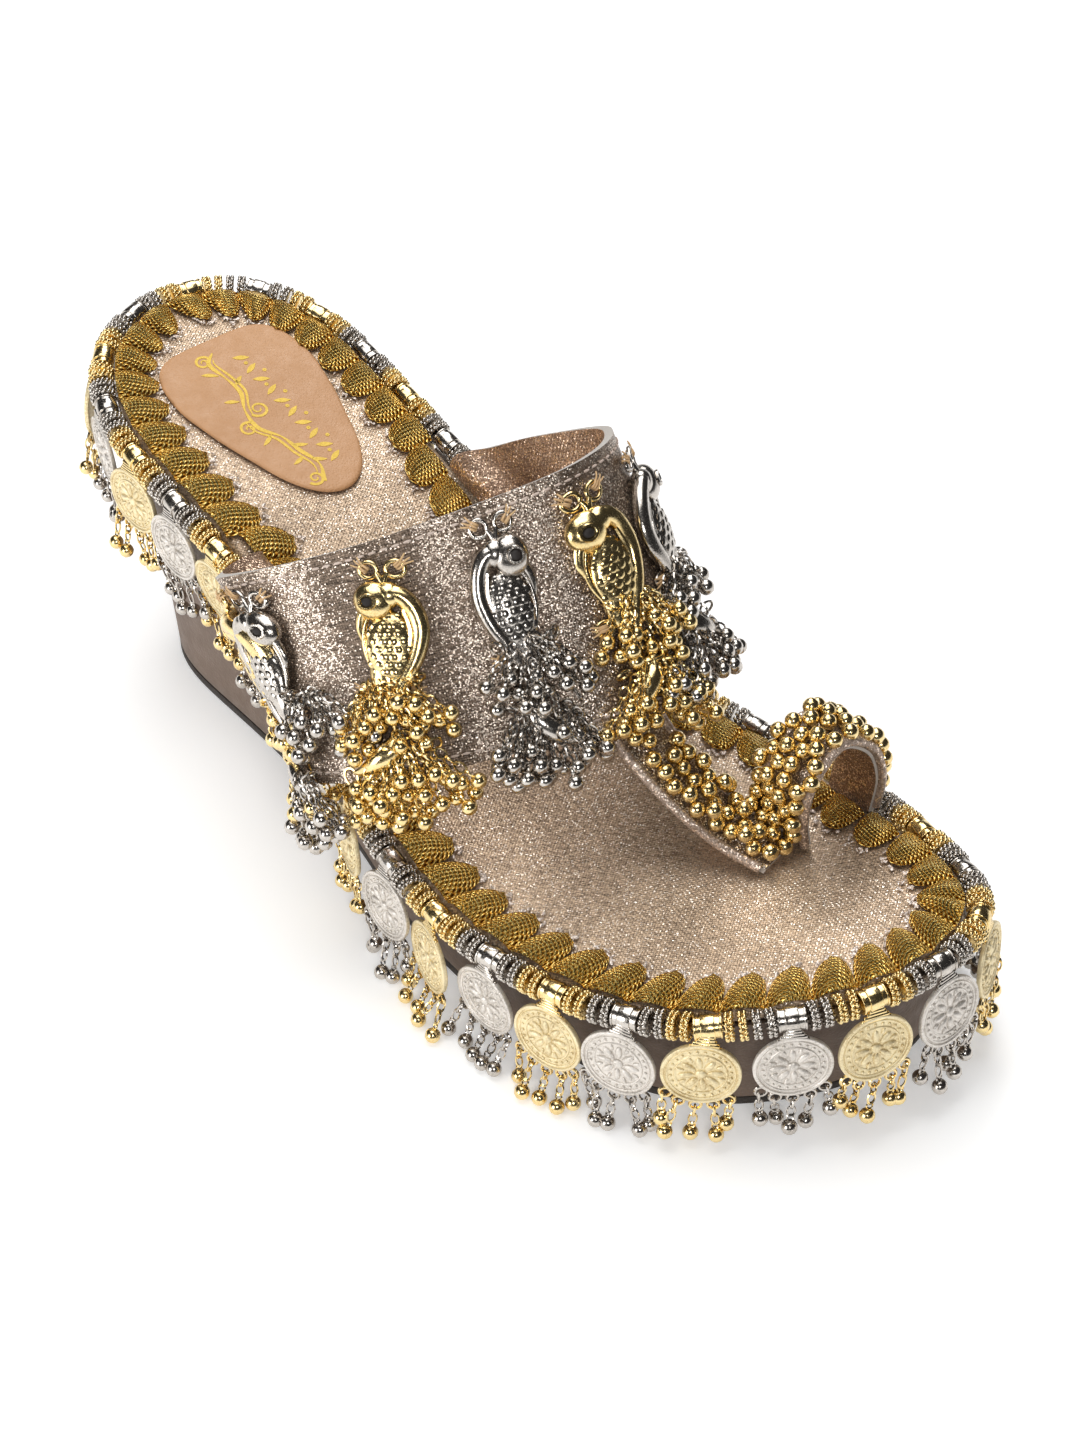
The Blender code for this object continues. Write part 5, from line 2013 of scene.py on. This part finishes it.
@dataclass
class Peacocks:
    """Six cast peacocks in a row across the band, each with two bunches of bells."""

    last: Last
    shop: Workshop
    finishes: Finishes
    band: Band
    perches: tuple[Perch, ...] = (
        Perch(0.235, 0.45, (0.0, 0.8), 0.0, 0.98, (0.0, 36.0), (-1.0, 51.0), 1.15),
        Perch(0.315, 0.66, (-1.2, 1.4), 12.5, 1.04, (1.8, 35.0), (-9.0, 53.5), 1.02),
        Perch(0.388, 0.95, (5.5, 2.0), 14.5, 1.0, (-3.9, 35.6), (-3.0, 50.6)),
        Perch(0.455, 0.80, (-1.0, 0.3), 1.2, 1.09, (-0.8, 36.0), (-0.7, 50.4)),
        Perch(0.512, 0.78, (-3.3, 2.2), -4.0, 1.06, (0.6, 36.4), (0.6, 52.0)),
        Perch(0.585, 0.72, (-2.5, 2.0), 0.0, 1.0, (-2.0, 36.0), (-4.0, 50.0)),
    )
    bell: float = 1.8

    def _bird(self) -> tuple[Blank, Blank, Blank]:
        """The bird on a flat card, facing -X, as plate, thread and dark beads.

        Returns:
            The cast metal, the thread tufts and the eye.
        """
        metal: list[Blank] = []
        hoop = Bench.hoop(1.75, 0.52, 18, 8)
        metal += [hoop.at(x, 4.4, 1.3) for x in (-2.6, 2.6)]
        stalk = np.array([[0.0, 8.2, 1.6], [0.3, 6.6, 1.6], [1.0, 5.0, 1.5]])
        metal += [self._swept(stalk * [x, 1.0, 1.0], (0.9, 0.75, 0.5), 8, 8) for x in (-1.0, 1.0)]
        metal += [hoop.sized(0.9).at(*spot) for spot in ((-4.9, 30.6, 1.0), (4.6, 30.2, 1.0))]
        head = Bench.ball(1.0, 22, 14)
        metal.append(head.sized(4.0, 4.3, 3.0).at(-2.1, 11.0, 2.2))
        metal.append(head.sized(2.9, 2.9, 2.5).at(0.8, 9.8, 2.1))
        metal.append(Bench.hoop(1.5, 0.4, 20, 6).at(-2.8, 11.0, 5.2))
        beak = np.array(
            [[-3.9, 12.8, 2.4], [-4.9, 14.8, 2.3], [-5.3, 17.2, 2.1], [-5.0, 19.6, 1.8]]
        )
        metal.append(self._swept(beak, (1.3, 1.0, 0.8, 0.4), 14, 8))
        neck = np.array(
            [[-0.6, 9.4, 2.2], [2.9, 9.9, 2.4], [5.3, 12.9, 2.4], [6.3, 17.6, 2.3],
             [5.4, 22.6, 2.2], [3.7, 26.4, 2.1], [1.9, 30.0, 1.9], [0.8, 33.0, 1.7]]
        )  # fmt: skip
        metal.append(self._swept(neck, (2.2, 2.0, 1.8, 1.75, 1.7, 1.6, 1.5, 1.2), 44, 12))
        shine = neck - [1.8, 0.0, -0.7]
        metal.append(self._swept(shine[2:], (0.45, 0.55, 0.6, 0.6, 0.55, 0.45), 36, 6))
        body = Bench.ball(1.0, 26, 14)
        metal.append(body.sized(5.1, 8.2, 2.5).at(0.6, 21.2, 1.7))
        metal.append(body.sized(3.0, 6.0, 1.9).at(-1.0, 27.0, 1.5))
        scale = Bench.ball(1.0, 8, 4)
        for row in range(9):
            for column in range(-3, 4):
                x = 0.4 + (column + (0.5 if row % 2 else 0.0)) * 1.75
                y = 14.8 + row * 1.62
                inside = ((x - 0.5) / 4.6) ** 2 + ((y - 21.2) / 7.6) ** 2
                if inside < 0.92:
                    z = 1.7 + 2.46 * math.sqrt(1.0 - inside)
                    metal.append(scale.sized(0.92, 1.05, 0.26).at(x, y, z))
        for x, y, far in ((-3.0, 25.0, -1.9), (-1.2, 26.6, -0.6)):
            leg = np.array([[x, y, 2.0], [(x + far) / 2.0, y + 4.0, 1.9], [far, 33.2, 1.6]])
            metal.append(self._swept(leg, (0.7, 0.8, 0.7), 12, 8))
        breast = np.array(
            [[-3.6, 14.6, 2.2], [-4.6, 18.0, 2.0], [-4.5, 22.0, 1.8], [-3.3, 26.0, 1.7]]
        )
        metal.append(self._swept(breast, (0.45, 0.6, 0.6, 0.45), 20, 8))
        spots = ((-3.9, 3.6, -50.0), (3.9, 3.2, 50.0), (-5.9, 30.4, -90.0), (5.6, 30.0, 90.0))
        tufts = [self._tuft(*spot) for spot in spots]
        eye = Bench.ball(1.1, 10, 6).sized(1.0, 1.0, 0.5).at(-2.8, 11.0, 5.1)
        return joined(metal), joined(tufts), eye

    @staticmethod
    def _swept(knots: Array, radii: Sequence[float], count: int, sides: int) -> Blank:
        """A smooth bar through a few knots, with its radius at each."""
        table = np.column_stack([knots, radii])
        table = smooth_through(range(len(knots)), table, np.linspace(0, len(knots) - 1, count))
        return Bench.rod(table[:, :3], table[:, 3], sides)

    def _tuft(self, x: float, y: float, turn: float) -> Blank:
        """Thick thread wound through a ring, with two cut ends."""
        chance = np.random.default_rng(int(abs(x * 100 + y * 7)) + 3)
        wrap = Bench.hoop(0.8, 0.24, 12, 5)
        made = []
        for k in range(4):
            turned = wrap.turned(90.0 + chance.normal(0, 12), 1)
            made.append(turned.at(0.36 * k - 0.6, 0.6, 1.2))
        t = np.linspace(0.0, 1.0, 5)
        for lean in (-0.35, 0.1, 0.45):
            reach = chance.uniform(1.3, 1.9)
            rise = 1.5 + 0.3 * np.sin(np.pi * t)
            path = np.column_stack([lean * (1 + reach * t), -reach * t, rise])
            made.append(Bench.rod(path, np.linspace(0.26, 0.16, 5), 5))
        return joined(made).turned(turn).at(x, y)

    def _horn(self) -> Blank:
        """The smooth curved horn between the two bunches, with a ring at each end."""
        line = np.array(
            [[3.4, -5.0, 2.2], [2.2, -1.6, 2.6], [-0.8, 1.4, 2.6],
             [-4.6, 4.2, 2.2], [-7.6, 5.4, 1.8]]
        )  # fmt: skip
        horn = self._swept(line, (0.9, 2.2, 2.4, 1.3, 0.35), 22, 12)
        ring = Bench.hoop(1.9, 0.42, 16, 6)
        tail = ring.turned(70.0, 0).at(4.2, -4.6, 2.0)
        return joined([horn, ring.at(-8.6, 6.4, 1.4), tail, ring.at(2.2, 4.8, 1.6)])

    def _bunch(
        self, half_width: float, half_length: float, seed: int, carry: Callable[[Array], Array]
    ) -> Blank:
        """A bunch of round bells, each on a short chain from the bunch's top.

        Args:
            half_width: Half its width on the card.
            half_length: Half its length.
            seed: Which arrangement it is.
            carry: Takes points from the card round the bunch's centre to the shoe.

        Returns:
            The bells, their chains and the jump rings at the top, in the last's place.
        """
        chance = np.random.default_rng(seed)
        size = self.bell
        count = max(int(np.pi * half_width * half_length / (4.0 * size * size) * 1.15), 9)
        angle, reach = chance.uniform(0, 2 * np.pi, count), chance.uniform(0.1, 1, count) ** 0.45
        x, y = np.cos(angle) * reach * half_width, np.sin(angle) * reach * half_length
        lift = chance.uniform(size, size * 3.2, count)
        card = np.column_stack([x, y * 0.62 + half_length * 0.42, lift])
        base = carry(card * [1.0, 1.0, 0.0])
        off = unit(carry(card * [1.0, 1.0, 0.0] + [0.0, 0.0, 1.0]) - base)
        spots = carry(card)
        for _ in range(90):
            spots = spots + 0.35 * pushes(spots, 2.0 * size) - [0.0, 0.0, 0.02]
            height = ((spots - base) * off).sum(axis=1)
            spots += off * (np.clip(height, size * 1.02, size * 4.4) - height)[:, None]
        tops = card * [0.4, 0.0, 0.45]
        tops[:, 1] = -half_length * chance.uniform(0.75, 1.05, count)
        tops = carry(tops + [0.0, 0.0, 1.2])
        ball, wide = Bench.ball(size, 12, 8), Bench.hoop(1.6, 0.3, 14, 5)
        link = Bench.hoop(1.05, 0.27, 12, 5)
        made = []
        for spot, top, normal in zip(spots, tops, off):
            line = unit(top - spot)
            side = unit(np.cross(line, normal + chance.normal(0.0, 0.5, 3)))
            front = np.cross(side, line)
            reach = float(np.linalg.norm(top - spot))
            made.append(ball.at(*spot))
            place = size + 0.7
            turned = False
            while place < min(reach, size + 10.0):
                x, y = (side, front) if turned else (front, side)
                stretch = 1.0 if place < size + 1.0 else 1.3
                made.append(link.sized(stretch, 0.85, 1.0).set_on(spot + line * place, line, x, y))
                place += 2.2 if stretch == 1.0 else 2.5
                turned = not turned
        for _ in range(5):
            aside, high = chance.uniform(-0.6, 0.6), chance.uniform(0, 2)
            spot = [aside * half_width, -half_length * 0.9, 2.0 + high]
            ring = wide.turned(chance.uniform(20, 90), 0).turned(chance.uniform(0, 180))
            made.append(ring.at(*carry(np.array([spot]))[0]))
        return joined(made)

    def build(self) -> None:
        """Set the charms on the band, gold and silver in turn."""
        bird, tufts, eye = self._bird()
        horn = self._horn()
        for k, perch in enumerate(self.perches):
            gold = k % 2 == 0
            side = 1.0 if gold else -1.0
            flip = np.array([side, 1.0, 1.0])
            card = joined(
                [
                    bird.sized(*flip).painted(0),
                    tufts.sized(*flip).painted(1),
                    eye.sized(*flip).painted(2),
                    horn.sized(*flip).at(-1.5 * side, 44.0).painted(0),
                ]
            )
            card = card.sized(perch.breadth, perch.size, 1.0).turned(perch.turn).at(*perch.step)
            hung = [card.bent(self._onto(perch, 0.0, 0.0, 0.35))]
            # each bunch's place, half width where the charm has all its room, what is added to
            # it, and half length
            bunches = ((perch.upper, 13.0, 1.2, 6.4), (perch.lower, 13.6, 1.6, 7.6))
            for number, (spot, wide, more, long) in enumerate(bunches):
                seed, onto = 40 + 20 * number + k, self._onto(perch, *spot, 0.5)
                hung.append(self._bunch(wide * perch.spread + more, long, seed, onto).painted(0))
            plate = self.finishes.gold if gold else self.finishes.silver
            self.shop.cast(
                f"peacock_{k + 1}", joined(hung), [plate, self.finishes.tuft, self.finishes.eye],
                "gold_plate" if gold else "silver_plate", (f"peacock_charm_{k + 1}",), weld=0.001,
            )  # fmt: skip

    def _onto(self, perch: Perch, x: float, y: float, lift: float) -> Callable[[Array], Array]:
        """What takes points from a charm's flat card, moved by x, y and lift, to the band."""
        return lambda points: self.band.on(perch.place, points + [x, y, lift])


# ---------------------------------------------------------------- studio


@dataclass
class Studio:
    """Pale floor, soft lights and the camera."""

    shop: Workshop
    camera_at: tuple[float, float, float] = (-295.3, -500.45, 456.02)
    aim: tuple[float, float, float] = (-1.2, -144.1, 40.0)
    lens: float = 70.5
    lit: tuple[float, float, float] = (0.0, -120.0, 30.0)
    # name, place, side in metres and power in watts of each square light
    lamps: tuple[tuple[str, tuple[float, float, float], float, float], ...] = (
        ("overhead", (60.0, 60.0, 950.0), 0.8, 5.6),
        ("window", (-900.0, -100.0, 300.0), 0.45, 3.6),
        ("front", (-470.0, -780.0, 640.0), 0.20, 2.0),
        ("back", (520.0, 480.0, 760.0), 0.45, 3.4),
    )

    def build(self) -> None:
        """Set up the room."""
        self._floor()
        self._world()
        for lamp in self.lamps:
            self._light(*lamp)
        self._camera()
        bpy.context.scene.view_settings.view_transform = "Standard"

    def _floor(self) -> None:
        """A wide pale floor."""
        Bench.clear()
        bpy.ops.mesh.primitive_plane_add(size=8.0, location=(0.0, 0.0, 0.0))
        floor = bpy.context.object
        floor.name = "floor"
        material = bpy.data.materials.new("pale_floor")
        material.use_nodes = True
        shader = material.node_tree.nodes["Principled BSDF"]
        for socket, value in (
            ("Base Color", (0.93, 0.93, 0.925, 1.0)),
            ("Roughness", 0.8),
            ("Emission Color", (1.0, 1.0, 1.0, 1.0)),
            ("Emission Strength", 0.3),
        ):
            shader.inputs[socket].default_value = value
        floor.data.materials.append(material)

    @staticmethod
    def _world() -> None:
        """White for the eye, a dim room for reflections."""
        world = bpy.data.worlds.new("room")
        bpy.context.scene.world = world
        world.use_nodes = True
        graph = Graph(world.node_tree)
        ray = graph.node("LightPath").outputs
        colour = graph.mix(ray["Is Glossy Ray"], (0.20, 0.20, 0.205), (0.035, 0.034, 0.034))
        colour = graph.mix(ray["Is Camera Ray"], colour, (0.97, 0.97, 0.97))
        graph.feed(world.node_tree.nodes["Background"].inputs[0], colour)

    def _aimed(self, spot: Sequence[float], target: Sequence[float]) -> tuple[Array, Array]:
        """Place and Euler turn of something that looks from one spot to another."""
        place = self.shop.placed(np.array(spot, float))
        look = unit(self.shop.placed(np.array(target, float)) - place)
        pitch = math.acos(-look[2])
        yaw = math.atan2(-look[0], look[1])
        return place, np.array([pitch, 0.0, yaw])

    def _light(self, name: str, spot: Sequence[float], size: float, power: float) -> None:
        """A square soft light, turned to the middle of the shoe."""
        lamp = bpy.data.lights.new(name, "AREA")
        lamp.size, lamp.energy = size, power
        thing = bpy.data.objects.new(name, lamp)
        thing.location, thing.rotation_euler = self._aimed(spot, self.lit)
        bpy.context.scene.collection.objects.link(thing)

    def _camera(self) -> None:
        """The camera, at a standing person's angle in front of the little toe."""
        camera = bpy.data.objects.new("camera", bpy.data.cameras.new("camera"))
        camera.location, camera.rotation_euler = self._aimed(self.camera_at, self.aim)
        camera.data.lens = self.lens
        bpy.context.scene.collection.objects.link(camera)
        bpy.context.scene.camera = camera


def main() -> None:
    """Load the frame, dress the shoe and set up the studio."""
    logging.basicConfig(level=logging.INFO, format="%(message)s")
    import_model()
    shop, last, finishes = Workshop(), Last(), Finishes.mixed()
    band = Band(last)
    Sole(last, shop, finishes).build()
    Petals(last, shop, finishes).build()
    upper = Upper(last, shop, finishes, band)
    upper.build()
    Beadwork(shop, finishes, upper).build()
    Trim(last, shop, finishes).build()
    Pendants(last, shop, finishes).build()
    Peacocks(last, shop, finishes, band).build()
    Studio(shop).build()


if __name__ == "__main__":
    main()
